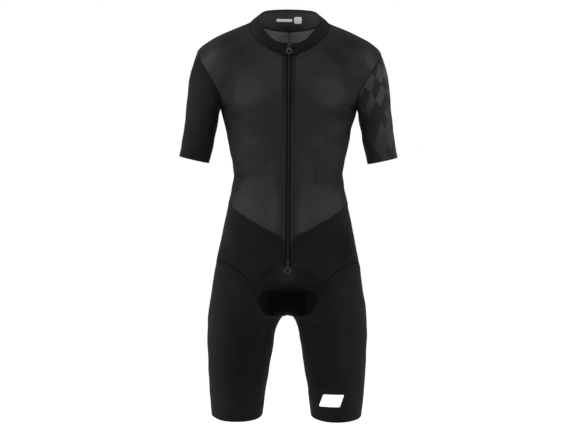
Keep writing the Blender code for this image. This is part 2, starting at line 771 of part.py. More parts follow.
def pull_solid(name, finish):
    """The ring pull with an eye whose upper bar lies inside the slider's bridge, on the hinge."""
    ring = add_solid(name, washer(RING_CENTRE, (RING_OUTER, RING_OUTER), (RING_HOLE, RING_HOLE), PULL_HALF), finish)
    eye_foot = RING_CENTRE + RING_OUTER - 1.2
    outline = [(-EYE_HALF, BAR_RADIUS), (EYE_HALF, BAR_RADIUS), (EYE_HALF, WINDOW_FOOT)]
    outline += [(1.9, eye_foot), (-1.9, eye_foot), (-EYE_HALF, WINDOW_FOOT)]
    stem = add_solid(name + "_stem", prism(outline, -BAR_RADIUS, BAR_RADIUS, "y"), finish)
    window = [(-WINDOW_HALF, -BAR_RADIUS), (WINDOW_HALF, -BAR_RADIUS)]
    window += [(WINDOW_HALF, WINDOW_FOOT), (-WINDOW_HALF, WINDOW_FOOT)]
    cutter = add_solid(name + "_window", prism(window, -2, 2, "y"), finish)
    join_to(ring, [stem])
    cut = ring.modifiers.new("window", "BOOLEAN")
    cut.operation = "DIFFERENCE"
    cut.solver = "EXACT"
    cut.object = cutter
    cutter.hide_render = True
    cutter.display_type = "WIRE"
    cutter.parent = ring
    return ring


def build_zip_metal():
    metal = material("zip_metal", METAL, 0.38, 0.9)
    for place, height in SLIDER_HEIGHTS.items():
        point = centre_front(height)
        slope = centre_front(height + 4) - centre_front(height - 4)
        lean = math.atan2(slope[1], slope[2])
        out = np.array([0, -math.cos(lean), math.sin(lean)])
        hinge = (point + out * (1.0 + AXIS_OUT)) * MM
        slider = slider_solid(f"zip_slider_{place}", metal)
        slider.matrix_world = Matrix.Translation(hinge) @ Matrix.Rotation(-lean, 4, "X")
        pull = pull_solid(f"zip_pull_{place}", metal)
        hang = -lean if place == "upper" else 0.0
        pull.matrix_world = Matrix.Translation(hinge) @ Matrix.Rotation(hang, 4, "X")


def main():
    for old in list(bpy.data.objects):
        bpy.data.objects.remove(old, do_unlink=True)
    build_cloth()
    build_zip_metal()


main()
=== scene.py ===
"""The looks of a worn cycling skinsuit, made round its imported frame.

Metres, +Z up, front towards -Y, the wearer's left at +X. The tables hold millimetres. Each cut piece is
a fine shell on the same skin as its solid, with creases, seams and hems, and stands for that solid.
"""

import math

import bpy
import numpy as np
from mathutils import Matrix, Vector


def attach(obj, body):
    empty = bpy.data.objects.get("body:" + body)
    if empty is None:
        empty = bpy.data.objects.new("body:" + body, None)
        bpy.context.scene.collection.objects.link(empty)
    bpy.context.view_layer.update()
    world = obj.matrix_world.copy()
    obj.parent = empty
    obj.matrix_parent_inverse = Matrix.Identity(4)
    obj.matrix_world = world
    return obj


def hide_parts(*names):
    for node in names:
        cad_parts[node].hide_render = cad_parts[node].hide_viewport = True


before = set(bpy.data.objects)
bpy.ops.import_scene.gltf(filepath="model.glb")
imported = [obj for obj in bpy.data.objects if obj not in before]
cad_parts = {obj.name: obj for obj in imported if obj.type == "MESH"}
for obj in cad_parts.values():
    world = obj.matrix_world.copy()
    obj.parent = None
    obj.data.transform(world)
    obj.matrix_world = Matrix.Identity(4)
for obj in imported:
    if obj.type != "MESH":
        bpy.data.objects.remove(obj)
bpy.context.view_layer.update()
BODY = "suit"

MM = 0.001
WALL = 1.3  # cloth thickness
COLLAR_WALL = 1.6
SEAM_LAP = 0.25  # each piece reaches this far past its seam line, so that no light comes through
NECK_LAP = 0.8  # and this much more round the neck, where the collar stands up from the seam
TUCK_WIDTH, SEAM_SHADE_WIDTH = 1.5, 2.1  # how far from a seam its groove and its painted shade fade
HEM_RISE, HEM_GROOVE = 0.45, 0.22
CELL = 3.6  # size of a shell's faces
COLLAR_BULGE = 6.0

COIL_HALF = 2.8
TAPE_INNER = 3.0
TAPE_OUTER = 14.0
ZIP_END = -554.0
TAPE_TAPER = 13.0
BINDING = 7.0
BINDING_LIFT, TAPE_LIFT = 0.4, 0.2  # these lie on the skin
LEG_BAND_TOP = -840.0
LEG_HEM = -905.0
HEM_DIP = 10.0  # the hem hangs this much lower in front
BAND_DIP = 0.7  # and the band's upper edge this share of it


def numbers(text):
    """The numbers of a text table, whose first line names its columns."""
    return [[float(cell) for cell in line.split()] for line in text.strip().splitlines()[1:]]


class Table:
    """A text table whose columns follow a smooth curve over the first one."""

    def __init__(self, text):
        self.names = text.strip().splitlines()[0].split()
        self.rows = np.array(sorted(numbers(text)))
        step = np.diff(self.rows[:, 0])[:, None]
        slope = np.diff(self.rows, axis=0) / step
        inner = (slope[:-1] * step[1:] + slope[1:] * step[:-1]) / (step[:-1] + step[1:])
        self.slopes = np.vstack([slope[:1], inner, slope[-1:]])

    def at(self, value):
        value = np.asarray(value, float)
        knots = self.rows[:, 0]
        i = np.clip(np.searchsorted(knots, value) - 1, 0, len(knots) - 2)
        width = (knots[i + 1] - knots[i])[..., None]
        t = np.clip((value - knots[i])[..., None] / width, 0, 1)
        result = (
            self.rows[i] * (2 * t**3 - 3 * t**2 + 1)
            + self.slopes[i] * width * (t**3 - 2 * t**2 + t)
            + self.rows[i + 1] * (3 * t**2 - 2 * t**3)
            + self.slopes[i + 1] * width * (t**3 - t**2)
        )
        return {name: result[..., k] for k, name in enumerate(self.names)}


# Level sections of one half, from the leg hem to the armpit. A section is a rounded oval about the line
# x = middle, which is 0 in the trunk and the leg's own middle below the crotch.
SECTIONS = Table("""
height middle side front back roundness
-925   116   174  71  69  2.1
-905   116 175.5  72  70  2.1
-851 115.5   181  77  74  2.1
-794 112.5 184.7  80  79  2.1
-738 109.3   187  82  86  2.1
-696   105   187  84  92  2.1
-682 101.2 186.5  85  94  2.1
-676  98.2 185.9  86  96  2.1
-672  92.7 185.4  86  97  2.1
-660    80 184.3  87 101 2.15
-640    58   182  89 108  2.2
-612    26   177  92 115 2.25
-585     7 173.5  96 119  2.3
-555     0   169 100 118 2.35
-498     0   157 103 104  2.4
-442     0   146 101  88  2.4
-385     0 134.5  97  79  2.4
-343     0   129  95  84 2.35
-315     0 131.3  98  92 2.35
-287     0   138 103 101  2.4
-258     0   144 108 109  2.4
-230     0   149 111 113  2.4
-205     0 156.5 112 114  2.4
-190     0 160.5 112 114  2.4
""")
# Above the armpit each row of the trunk runs from the centre line, or the neck seam, out to the armhole.
# A station is that row's place: the armpit's row is -190, the first on the neck seam -115, the last -40.
SECTION_TOP, ARMPIT, NECK_START, SHOULDER = -205.0, -190.0, -115.0, -40.0
CENTRE_LINES = Table("""
station front_y front_z back_y back_z
-230   -111 -230   113 -230
-205   -112 -205   114 -205
-190   -111 -190 114.5 -168
-175 -108.5 -170   113 -133
-160   -103 -148   107  -98
-145    -93 -124    97  -62
-130    -79  -98    83  -30
-115    -62  -70    66    0
""")
NECK_SEAM = Table("""
station front_x front_y front_z back_x back_y back_z
-115  0   -62 -70  0 66  0
-100 36   -54 -60 35 61  3
 -85 66   -40 -40 62 49  9
 -70 86 -22.5 -20 81 35 14
 -55 93  -7.5  -2 91 20 16
 -40 93     5  13 93  5 13
""")
ARMHOLE = Table("""
station x z front_y back_y turn roundness
-230   149 -230   0  0 90 2.4
-205 156.5 -205   0  0 90 2.4
-190 160.5 -189   0  0 80 2.4
-175 158.3 -182 -31 34 66 2.3
-160 157.6 -169 -52 56 57 2.2
-145   163 -154 -60 65 52 2.1
-130 171.5 -139 -60 65 50   2
-115   181 -123 -55 61 50   2
-100 190.5 -107 -46 53 52   2
 -85 201.5  -89 -35 43 60   2
 -70 209.5  -75 -23 32 68   2
 -55 215.2  -66  -9 19 77   2
 -40 217.5  -62   5  5 86   2
""")
# Rings of the sleeve from the armhole (0) to its hem (1): outer and inner point, and the depths.
SLEEVE_RINGS = Table("""
along outer_x outer_z inner_x inner_z front back
   0 217.5  -62 160.5 -189 58 63
0.15 225.5  -84 163.5 -198 60 63
 0.4   235 -125   165 -213 58 62
 0.6 239.5 -176 168.5 -236 56 60
 0.8 246.5 -243 176.5 -277 53 57
   1   256 -302 186.5 -317 50 54
""")
# The collar's upper edge, from the coil (share 0) round the side to the back (share 1).
COLLAR_TOP = Table("""
share x y z
   0  0   -50   -40
0.11 25 -47.3 -37.5
0.22 44 -38.5   -25
0.33 61 -25.5    -3
0.45 72    -8    18
0.56 71     9    32
0.69 61  29.5  43.5
0.83 38    45  49.5
   1  0    52    52
""")
# Seams that cross the sections: height at each angle round the section, 90 at the side, front then back.
WAIST_SEAM = Table("""
angle front back
 0 -496 -394
30 -456 -396
64 -424 -401
90 -408 -408
""")
HIP_SEAM = Table("""
angle front back
-90 -677 -677
-64 -675 -677
-34 -671 -675
-13 -660 -664
  4 -638 -643
 17 -614 -620
 29 -583 -589
 43 -561 -566
 90 -543 -543
""")
INSERT_TOP = {"front": -609.0, "back": -615.0}
INSERT_CORNER = 15.0
INSERT_SHARE = 5 / 12  # share of the yoke's width that lies above the insert
NECK_CORNER = -105.6  # station at which the collar seam has come in from the tape's edge

# Above the crotch point the dip between the two thighs is filled out over this width on each side.
CROTCH, FILL_TOP, FILL_WIDTH, FILL_FADE = -672.0, -560.0, 45.0, 40.0


def power(value, exponent):
    return np.sign(value) * np.abs(value) ** exponent


def lerp(low, high, t):
    return low + (high - low) * t


def soft_step(low, high, value):
    t = np.clip((value - low) / (high - low), 0, 1)
    return t * t * (3 - 2 * t)


def bell(value):
    """1 at 0, falling off softly to both sides."""
    return np.exp(-(value**2))


def unit(vectors):
    return vectors / np.maximum(np.linalg.norm(vectors, axis=-1), 1e-9)[..., None]


def run_length(points):
    """How far along a line of points each of them is."""
    return np.concatenate([[0], np.cumsum(np.linalg.norm(np.diff(points, axis=0), axis=1))])


def along_line(at, far, points):
    """Points at distances along a line, whose own points are at the distances far."""
    return np.stack([np.interp(at, far, column) for column in points.T], axis=1)


def side_of(facing):
    return "front" if facing < 0 else "back"


def seam_height(seam, angle, facing):
    """The height of a seam that crosses the sections, at angles round the front or the back."""
    found = seam.at(angle)
    return np.where(facing < 0, found["front"], found["back"])


def row_ends(station, facing):
    """The inner and outer ends of the skin's row at a station, its turn in degrees and its roundness."""
    side = side_of(facing)
    s, a, c, n = (table.at(station) for table in (SECTIONS, ARMHOLE, CENTRE_LINES, NECK_SEAM))
    trunk, chest = station <= SECTION_TOP, station <= NECK_START
    inner = [
        np.where(trunk, np.maximum(s["middle"], 0), np.where(chest, 0, n[side + "_x"])),
        np.where(trunk, facing * s[side], np.where(chest, c[side + "_y"], n[side + "_y"])),
        np.where(trunk, station, np.where(chest, c[side + "_z"], n[side + "_z"])),
    ]
    outer = [np.where(trunk, s["side"], a["x"]), np.where(trunk, 0, a[side + "_y"])]
    outer.append(np.where(trunk, station, a["z"]))
    return inner, outer, np.where(trunk, 90, a["turn"]), np.where(trunk, s["roundness"], a["roundness"])


def skin(station, angle, facing):
    """Points of the left half's skin; angle is 0 at a row's middle and 90 at its outer end."""
    station, angle = np.broadcast_arrays(np.asarray(station, float), np.asarray(angle, float))
    inner, outer, turn, roundness = row_ends(station, facing)
    bend, end = np.radians(angle * turn / 90), np.radians(turn)
    e = 2 / roundness
    across = power(np.sin(bend), e) / power(np.sin(end), e)
    rest = power(np.maximum(np.cos(end), 0), e)
    deep = (power(np.maximum(np.cos(bend), 0), e) - rest) / (1 - rest)
    x = inner[0] + (outer[0] - inner[0]) * across
    y = outer[1] + (inner[1] - outer[1]) * deep + facing * cleft_fill(station, x, inner, outer)
    return np.stack([x, y, inner[2] + (outer[2] - inner[2]) * angle / 90], axis=-1)


def cleft_fill(station, x, inner, outer):
    """Extra depth above the crotch that lets the two halves meet smoothly at the middle."""
    middle, reach = inner[0], outer[0] - inner[0]
    width = np.minimum(middle, FILL_WIDTH)
    slope = np.abs(inner[1]) * middle / (reach * np.sqrt(np.maximum(reach**2 - middle**2, 1e-6)))
    fade = np.clip((station - CROTCH) / FILL_FADE, 0, 1)
    fill = fade * np.minimum(slope, 1) * width / 2
    fill *= np.maximum(1 - x / np.maximum(width, 0.01), 0) ** 2
    return np.where((station > CROTCH) & (station < FILL_TOP) & (middle < reach), fill, 0)


def angle_at(station, x, facing):
    """The angle at which the row at a station passes a distance x from the middle of the suit."""
    station = np.asarray(station, float)
    inner, outer, turn, roundness = row_ends(station, facing)
    share = (x - inner[0]) / (outer[0] - inner[0])
    sine = np.clip(power(share, roundness / 2) * np.sin(np.radians(turn)), -1, 1)
    return np.degrees(np.arcsin(sine)) * 90 / turn


def zip_edge(height):
    """How far from the middle the tape's outer edge is; it closes on the coil at the zip's end."""
    t = np.clip((height - ZIP_END) / TAPE_TAPER, 0, 1)
    return TAPE_INNER + (TAPE_OUTER - TAPE_INNER) * np.sqrt(t * (2 - t))


# Panels of the left half. Each is an array of rows, from low to high, with columns that run round the
# body from the front to the side to the back, so that its faces point out.

EDGE_STEPS = np.array([0.0, 0.8, 1.8, 3.4])
# About how wide and how high each panel is, which sets how fine its steps are.
TRUNK_WIDE, TRUNK_HIGH, BINDING_WIDE = 200, 260, 190
HIP_WIDE, HIP_HIGH, INSERT_HALF, INSERT_HIGH = 240, 150, 90, 150
LEG_HIGH, BAND_HIGH, SLEEVE_HIGH, COLLAR_HIGH = 220, 64, 210, 44
SHOULDER_ROWS, BINDING_ROWS = 76, 9
LEG_COLUMNS, BAND_COLUMNS, SLEEVE_COLUMNS = 156, 130, 120
SOFTEN_FROM, SOFTEN_TO = (-165, -140), (-92, -70)  # stations where evening the rows out comes in and ends


def fine_steps(length):
    """Shares from 0 to 1 along a length in millimetres, close together near both ends, where seams are."""
    edge = EDGE_STEPS / length
    count = max(int((length - 2 * EDGE_STEPS[-1]) / CELL), 2)
    return np.concatenate([edge[:-1], np.linspace(edge[-1], 1 - edge[-1], count), 1 - edge[-2::-1]])


def beside_zip(station, facing):
    """The angle at which the front's rows meet the tape's outer edge, and 0 on the back."""
    return angle_at(station, TAPE_OUTER, facing) if facing < 0 else 0.0


def waist_edge(share, facing, offset):
    """Stations on the waist binding's edge; share is 0 at the tape or the back middle and 1 at the side."""
    angle = lerp(beside_zip(seam_height(WAIST_SEAM, 0, facing), facing), 90, share)
    return seam_height(WAIST_SEAM, angle, facing) + offset


def front_start(station):
    """The angle of the front panel's inner edge: beside the tape, then along the neck seam."""
    beside_tape = beside_zip(np.minimum(station, NECK_START), -1)
    return beside_tape * np.clip((NECK_CORNER - station) / (NECK_CORNER - NECK_START), 0, 1)


def turned(rows, facing):
    """Rows in the order that faces them out: a back piece's columns run from the side to the middle."""
    return rows if facing < 0 else rows[:, ::-1]


def softened(grid, weight, passes=14):
    """The grid with its columns evened out by weight, so that no edge shows along a row."""
    for _ in range(passes):
        grid[1:-1] += ((grid[:-2] + grid[2:]) / 2 - grid[1:-1]) * weight[1:-1, :, None] / 2
    return grid


def trunk_panel(facing):
    """Front or back mesh panel, from the waist binding up to the shoulder seam."""
    share = fine_steps(TRUNK_WIDE)[None, :]
    up = fine_steps(TRUNK_HIGH)[:-3, None]
    below = lerp(waist_edge(share, facing, BINDING / 2), SECTION_TOP, up / up[-1, 0])
    above = np.linspace(SECTION_TOP, SHOULDER, SHOULDER_ROWS)[1:-1, None]
    above = np.concatenate([above, SHOULDER - np.array([[1.0], [0.4], [0.0]])])
    station = np.concatenate([below, above + 0 * share])
    start = front_start(station) if facing < 0 else 0.0
    neck_base = soft_step(*SOFTEN_FROM, station) * (1 - soft_step(*SOFTEN_TO, station))
    weight = neck_base * soft_step(0.0, 0.12, share) * (1 - soft_step(0.8, 1.0, share))
    return turned(softened(skin(station, lerp(start, 90, share), facing), weight), facing)


def binding_panel():
    halves, share = [], fine_steps(BINDING_WIDE)[None, :]
    up = np.linspace(-BINDING / 2, BINDING / 2, BINDING_ROWS)[:, None]
    for facing in (-1, 1):
        station = waist_edge(share, facing, up)
        angle = lerp(beside_zip(station, facing), 90, share)
        halves.append(turned(skin(station, angle, facing), facing))
    return np.concatenate([halves[0], halves[1][:, 1:]], axis=1)


def insert_edge(t, facing):
    """The insert's upper seam, from the middle (0) to its corner on the hip seam (1)."""
    station = lerp(INSERT_TOP[side_of(facing)], seam_height(HIP_SEAM, INSERT_CORNER, facing), t**2.5)
    return station, lerp(angle_at(station, 0.0, facing), INSERT_CORNER, t)


def hip_panel(facing):
    """Front yoke or seat panel, between the waist binding and the hip and insert seams."""
    share = np.unique(np.concatenate([fine_steps(HIP_WIDE), INSERT_SHARE + np.array([-0.004, 0, 0.004])]))
    beyond = lerp(INSERT_CORNER, 90, np.clip((share - INSERT_SHARE) / (1 - INSERT_SHARE), 0, 1))
    station, angle = insert_edge(np.clip(share / INSERT_SHARE, 0, 1), facing)
    inside = share <= INSERT_SHARE
    low = np.where(inside, station, seam_height(HIP_SEAM, beyond, facing))
    low_angle = np.where(inside, angle, beyond)
    down = fine_steps(HIP_HIGH)[::-1, None]
    station = lerp(waist_edge(share, facing, -BINDING / 2), low, down)
    edge = np.where(station < ZIP_END, 0.0, zip_edge(station) if facing < 0 else 0.0)

    def guide(height):
        """An even line up to the tape's outer edge, which the columns follow further out."""
        reach = (facing < 0) * TAPE_OUTER * soft_step(ZIP_END - 50, ZIP_END + 20, height)
        return angle_at(height, reach, facing)

    low_share = (low_angle - guide(low)) / (90 - guide(low))
    angle = lerp(guide(station), 90, lerp(share, low_share, down))
    angle = angle + (angle_at(station, edge, facing) - guide(station)) * (1 - share) ** 6
    return turned(skin(station, angle, facing), facing)


def insert_half(facing):
    """Half of the insert on one side of the body: rows from its upper seam down to the inseam."""
    t, down = fine_steps(INSERT_HALF)[None, :], fine_steps(INSERT_HIGH)[:-3, None]
    down = down / down[-1, 0]
    middle = lerp(INSERT_TOP[side_of(facing)], CROTCH, np.sin(np.radians(90 * down)))
    end_angle = lerp(INSERT_CORNER, -90, down)
    bulge = lerp(1, 1.8, down) + 1.5 * np.maximum(1 - 6 * down, 0) ** 2
    station = lerp(middle, seam_height(HIP_SEAM, end_angle, facing), t**bulge)
    angle = lerp(angle_at(middle, 0.0, facing), end_angle, t)
    return skin(station, np.maximum(angle, angle_at(station, 0.0, facing)), facing)


def insert_panel():
    """The whole crotch insert: from its back upper seam, under the crotch, to its front upper seam."""
    half = np.concatenate([insert_half(1), insert_half(-1)[::-1][1:]])
    return np.concatenate([mirrored(half)[:, :-1], half], axis=1)


def up_and_down(count):
    """Shares of the way from 0 up the front to 1, and down the back again, and how each of them faces."""
    turn = np.arange(count) / count * 2
    return np.where(turn <= 1, turn, 2 - turn), np.where(turn <= 1, -1, 1)


def leg_columns(count):
    """Columns round the leg from the inseam's front: even angle, angle on the hip seam, and facing."""
    turn, facing = up_and_down(count)
    return turn * 180 - 90, np.interp(turn * 13, [0, 6, 13], [-90, INSERT_CORNER, 90]), facing


def on_both(station, angle, facing):
    """Skin points of columns that run round the front and the back."""
    return np.where((facing < 0)[..., None], skin(station, angle, -1), skin(station, angle, 1))


def hem_height(angle, facing, base, dip):
    return base - dip * np.cos(np.radians(angle)) * np.where(facing < 0, 1, -0.2)


def leg_panel():
    even, hip, facing = leg_columns(LEG_COLUMNS)
    low = hem_height(even, facing, LEG_BAND_TOP, HEM_DIP * BAND_DIP)
    up = fine_steps(LEG_HIGH)[:, None]
    return on_both(lerp(low, seam_height(HIP_SEAM, hip, facing), up), lerp(even, hip, up**1.5), facing)


def band_panel():
    even, _, facing = leg_columns(BAND_COLUMNS)
    low = hem_height(even, facing, LEG_HEM, HEM_DIP)
    high = hem_height(even, facing, LEG_BAND_TOP, HEM_DIP * BAND_DIP)
    return on_both(lerp(low, high, fine_steps(BAND_HIGH)[:, None]), even, facing)


def armhole_loop(count):
    """The armhole's points, from the armpit up the front and down the back."""
    turn, facing = up_and_down(count)
    return on_both(np.interp(turn * 13, [0, 5, 13], [ARMPIT, NECK_START, SHOULDER]), 90, facing)


def ring_axes(ring):
    """The middle of a sleeve ring, and the way from it to the ring's outer point."""
    ends = ((ring[end + "_x"], ring[end + "_z"]) for end in ("outer", "inner"))
    outer, inner = (np.stack([x, 0 * x, z], axis=-1) for x, z in ends)
    return (outer + inner) / 2, (outer - inner) / 2


def ring_point(ring, turn):
    """A point of a sleeve ring; turn is 0 at its outer point and goes round by the front."""
    centre, along = ring_axes(ring)
    depth = np.where(np.sin(turn) > 0, ring["front"], ring["back"])
    return centre + along * np.cos(turn)[..., None] - np.array([0, 1, 0]) * (depth * np.sin(turn))[..., None]


def sleeve_panel():
    """The sleeve, lofted from the armhole's own points through its rings down to the hem."""
    loop = armhole_loop(SLEEVE_COLUMNS)
    first = SLEEVE_RINGS.at(0)
    centre, along = ring_axes(first)
    depth = np.where(loop[:, 1] < 0, first["front"], first["back"])
    own = np.arctan2(-loop[:, 1] / depth, (loop - centre) @ along / (along @ along)) % math.tau
    even = (math.pi - math.tau * np.arange(len(loop)) / len(loop)) % math.tau
    even += math.tau * np.round((own - even) / math.tau)
    share = 1 - fine_steps(SLEEVE_HIGH)[:, None]
    ring = {name: column + 0 * own for name, column in SLEEVE_RINGS.at(share).items()}
    first = {name: value + 0 * own for name, value in first.items()}
    lift = (loop - ring_point(first, own)) * (1 - share[..., None]) ** 2
    return ring_point(ring, lerp(own, even, share)) + lift


def collar_top(share):
    """The collar's upper edge; share is 0 beside the coil and 1 at the back."""
    edge = COLLAR_TOP.at(share)
    return np.stack([edge["x"], edge["y"], edge["z"]], axis=-1)


def collar_half():
    """Half of the stand collar, from beside the coil to the back middle."""
    beside = skin(NECK_START, angle_at(NECK_START, np.linspace(TAPE_INNER, TAPE_OUTER, 5), -1), -1)
    front = np.linspace(NECK_START, SHOULDER, 60)[1:]
    back = np.linspace(SHOULDER, NECK_START, 50)[1:]
    base = np.concatenate([beside, skin(front, front_start(front), -1), skin(back, 0, 1)])
    length = run_length(base)
    spaced = fine_steps(length[-1]) * length[-1]
    base = along_line(spaced, length, base)
    top = collar_top(spaced / length[-1])
    up = fine_steps(COLLAR_HIGH)[:, None, None]
    half = lerp(base, top, up) + unit(base * [1, 1, 0]) * COLLAR_BULGE * up * (1 - up)
    half[:, 0, 0] = TAPE_INNER
    half[:, -1, 0] = 0
    return half


def collar_panel():
    half = collar_half()
    return np.concatenate([half, mirrored(half)[:, 1:]], axis=1)


def centre_front(height):
    """Points of the zip's line at heights: on the skin, and above the neck seam on the collar."""
    neck, top = skin(NECK_START, 0, -1), collar_top(0.0)
    stations = np.linspace(SECTION_TOP, NECK_START, 200)
    on_chest = skin(np.interp(height, CENTRE_LINES.at(stations)["front_z"], stations), 0, -1)
    on_trunk = skin(height, angle_at(height, 0.0, -1), -1)
    up = np.clip((height - neck[2]) / (top[2] - neck[2]), 0, 1)
    depth = lerp(neck[1], top[1], up) - COLLAR_BULGE * up * (1 - up)
    on_collar = np.stack([0 * height, depth, height], axis=-1)
    chest = np.where((height < SECTION_TOP)[..., None], on_trunk, on_chest)
    return np.where((height < neck[2])[..., None], chest, on_collar)


def tape_panel():
    """The zip tape beside the coil, from the zip's end up to the collar."""
    foot = ZIP_END + np.array([0.4, 1, 2, 4, 7, 10, 13])
    station = np.concatenate([foot, np.linspace(ZIP_END + 17, NECK_START, 110)])[:, None]
    edge = np.maximum(zip_edge(station), TAPE_INNER + 1.2)
    return skin(station, angle_at(station, lerp(TAPE_INNER, edge, np.linspace(0, 1, 6)), -1), -1)


def mirrored(grid):
    """The right half's grid, with its columns turned round so that its faces still point out."""
    return grid[:, ::-1] * [-1, 1, 1]


# Creases. Each is a soft trough (or, with a negative depth, a ridge) between two places on one face of
# the suit, in millimetres: x and z on the front and back, y and z on both sides.
FRONT_CREASES = numbers("""
x0 z0 x1 z1 bow width depth
 -28 -556  -70 -579  3  5 1.7
 -30 -575  -66 -600 -4  6 0.6
  22 -556   86 -590 -3  5 1.7
  24 -578   60 -600  4  6 0.5
  -9 -500  -34 -509  2  4 0.9
  10 -503   30 -508 -2  4 0.7
  -8 -512  -24 -524  2  4 0.6
-104 -655  -66 -690  3  4  -1
 -98 -668  -66 -696  3  4 0.9
 -65 -690  -78 -709  3  4 1.1
  57 -699   80 -690  3  4 1.1
  57 -699   68 -716  3  4 0.9
-150 -205 -104 -226  8  9 1.1
-146 -222 -112 -250 -5  8 0.8
 151 -206  110 -221 -7  9   1
 143 -230  116 -262  6  8 0.7
-160 -150 -132 -128  6  9 0.9
 166 -148  140 -122 -6  9 0.8
-124 -350  -76 -362  6 12 0.9
 125 -338   84 -352 -6 12 0.8
-120 -383  -88 -388 -4 10 0.6
 118 -372   92 -384  4 10 0.6
 -60 -800  -78 -836  5  8 0.7
  66 -790   88 -834 -6  9 0.6
-186 -250 -214 -262 -6  8 0.9
 190 -262  222 -268  6  8 0.8
""")
BACK_CREASES = numbers("""
x0 z0 x1 z1 bow width depth
-112 -350  -20 -366  8 12 1.4
 110 -336   34 -352 -7 12 1.2
 -98 -376  -30 -384 -5 10 0.9
  70 -372    6 -380  5 10 0.8
-148 -206  -96 -238  8 10 1.2
 150 -210  104 -232 -8 10   1
-150 -160 -110 -116  8 11   1
 152 -156  116 -120 -8 11 0.9
-112 -676  -58 -706  6  7 1.5
-124 -700  -72 -728 -6  8   1
 104 -682   56 -704 -6  7 1.3
 120 -708   74 -738  6  8 0.9
 -18 -640  -44 -600  6  8 0.9
  16 -636   38 -602 -6  8 0.8
 -80 -846 -130 -850  3  6 0.5
-196 -262 -226 -270 -6  8 0.8
 192 -250  224 -262  6  8 0.9
""")
SIDE_CREASES = numbers("""
y0 z0 y1 z1 bow width depth
-52 -342 46 -352  7 12 1.2
-38 -372 58 -378 -6 11 0.9
-44 -232 20 -258  8 10   1
 10 -226 62 -250 -6  9 0.8
-30 -548 34 -552  5  9 0.7
""")
RIDGE_SHARE, RIDGE_PLACE = 0.35, 1.6  # the ridge beside a crease: share of its depth, and widths off it
CREASE_SHADING = 0.07  # painted shade: the cloth's colour is this much darker for each millimetre that a crease presses it in, and lighter where a ridge stands up
RIGHT_SHIFT = 9  # the creases of the right side lie this much lower than those of the left


def crease_depth(a, b, weight, table):
    """Depth of a table's creases at places a, b: each is a trough with a low ridge beside it."""
    total = np.zeros_like(a)
    for a0, b0, a1, b1, bow, width, depth in table:
        run, rise, length = a1 - a0, b1 - b0, math.hypot(a1 - a0, b1 - b0)
        along = ((a - a0) * run + (b - b0) * rise) / length**2
        off = ((b - b0) * run - (a - a0) * rise) / length - 4 * bow * along * (1 - along)
        fade = soft_step(-0.15, 0.35, along) * (1 - soft_step(0.6, 1.15, along))
        total += depth * fade * (bell(off / width) - RIDGE_SHARE * bell(off / width - RIDGE_PLACE))
    return total * weight


# The slight unevenness of worn cloth: a wave's length along x, y and z, its phase and its height.
WAVES = numbers("""
x y z phase height
130  90  75 0.4 0.32
-85 120  58 2.1 0.24
 64 -70 140   4 0.18
 48  55 -46 1.2 0.09
-37  60  31 5.1 0.05
""")


def unevenness(grid):
    total = np.zeros(grid.shape[:2])
    for *lengths, phase, height in WAVES:
        total += height * np.sin(math.tau * (grid / lengths).sum(axis=2) + phase)
    return total


def creases(grid, normal):
    """How far the creases press each point of a piece in."""
    x, y, z = np.moveaxis(grid, 2, 0)
    aside = soft_step(0.3, 0.8, np.abs(normal[..., 0])) * np.where(np.abs(x) < 200, 1.0, 0.4)
    total = crease_depth(x, z, soft_step(0.05, 0.5, -normal[..., 1]), FRONT_CREASES)
    total += crease_depth(x, z, soft_step(0.05, 0.5, normal[..., 1]), BACK_CREASES)
    return total + crease_depth(y, z + np.where(x > 0, 0, RIGHT_SHIFT), aside, SIDE_CREASES)


def relief(grid, normal):
    """How far each point of a piece lies under the even skin."""
    down = creases(grid, normal) + unevenness(grid)
    crotch = bell(grid[..., 0] / 5) * soft_step(0.5, 0.9, -normal[..., 2])
    return down - np.where(grid[..., 2] < -600, crotch, 0)


# Painted light and shade, as soft differences of tone. Each row of these tables is an oval on the front (-1)
# or the back (1): its middle, half width and height, turn and strength; a positive strength paints a
# highlight and a negative one paints shade. A patch is an outline on the front, turning left all the way,
# with the softness of the edge that each corner starts.
# painted highlights and shade on the mesh, such as the highlights on the shoulders
MESH_PAINTED_LIGHT = numbers("""
facing x z wide high turn strength
-1 -190  -82 14 40 -28  0.46
-1 -162  -98 34 52 -20  0.13
-1  192  -84 12 34  28   0.4
-1  160 -104 34 52  20  0.11
-1 -110  -62 50 34  20 -0.12
-1  110  -62 50 34 -20 -0.13
-1 -152  -36 36 15  25 -0.14
-1  140  -34 42 15 -22 -0.15
-1  -79 -112 46 34   0 -0.04
-1   57 -110 32 24   0 -0.07
-1    0 -193 30 40   0  0.06
-1  -30 -450 13 44   0  0.16
-1   30 -450 13 44   0  0.16
-1  -52 -420 40 44   0  0.05
-1   60 -420 40 44   0  0.07
-1  -51 -337 18 20   0  0.07
-1   34 -330 14 44   0  0.07
-1  120 -202 20 34   0 -0.12
-1 -124 -212 18 26   0 -0.08
-1 -114 -263 15 17   0 -0.09
-1  107 -268 18 18   0  -0.1
-1 -109 -335 20 34   0 -0.07
-1   54 -270 18 10   0  0.05
-1  -71 -267 20  9   0  0.04
-1   30 -205 44 30   0  0.03
-1 -142 -105  9 50  -8 -0.06
-1  124 -104 10 44  29 -0.06
-1  -98 -204 32  6   8 -0.05
-1  104 -207 34  7 -14 -0.05
-1  -80 -271 34 13  -8  0.09
-1  -98 -244 20  9 -12  0.04
-1   74 -263 24 16   6  0.08
-1  106 -284 24  8 -18  0.06
-1  112 -236 22  9  14  0.04
-1  -80 -301 34  5   8 -0.03
-1  -86 -424 44 22 -30   0.1
-1   82 -426 44 22  30  0.09
 1 -160  -72 30 44  24  0.16
 1  158  -76 30 44 -24  0.15
 1  -70 -110 46 56  10  0.08
 1   74 -114 46 56 -10  0.07
 1  -84 -250 38 60   4 -0.04
 1   88 -256 38 60  -4 -0.04
 1  -70 -352 44 34   0   0.1
 1   72 -348 44 34   0  0.11
""")
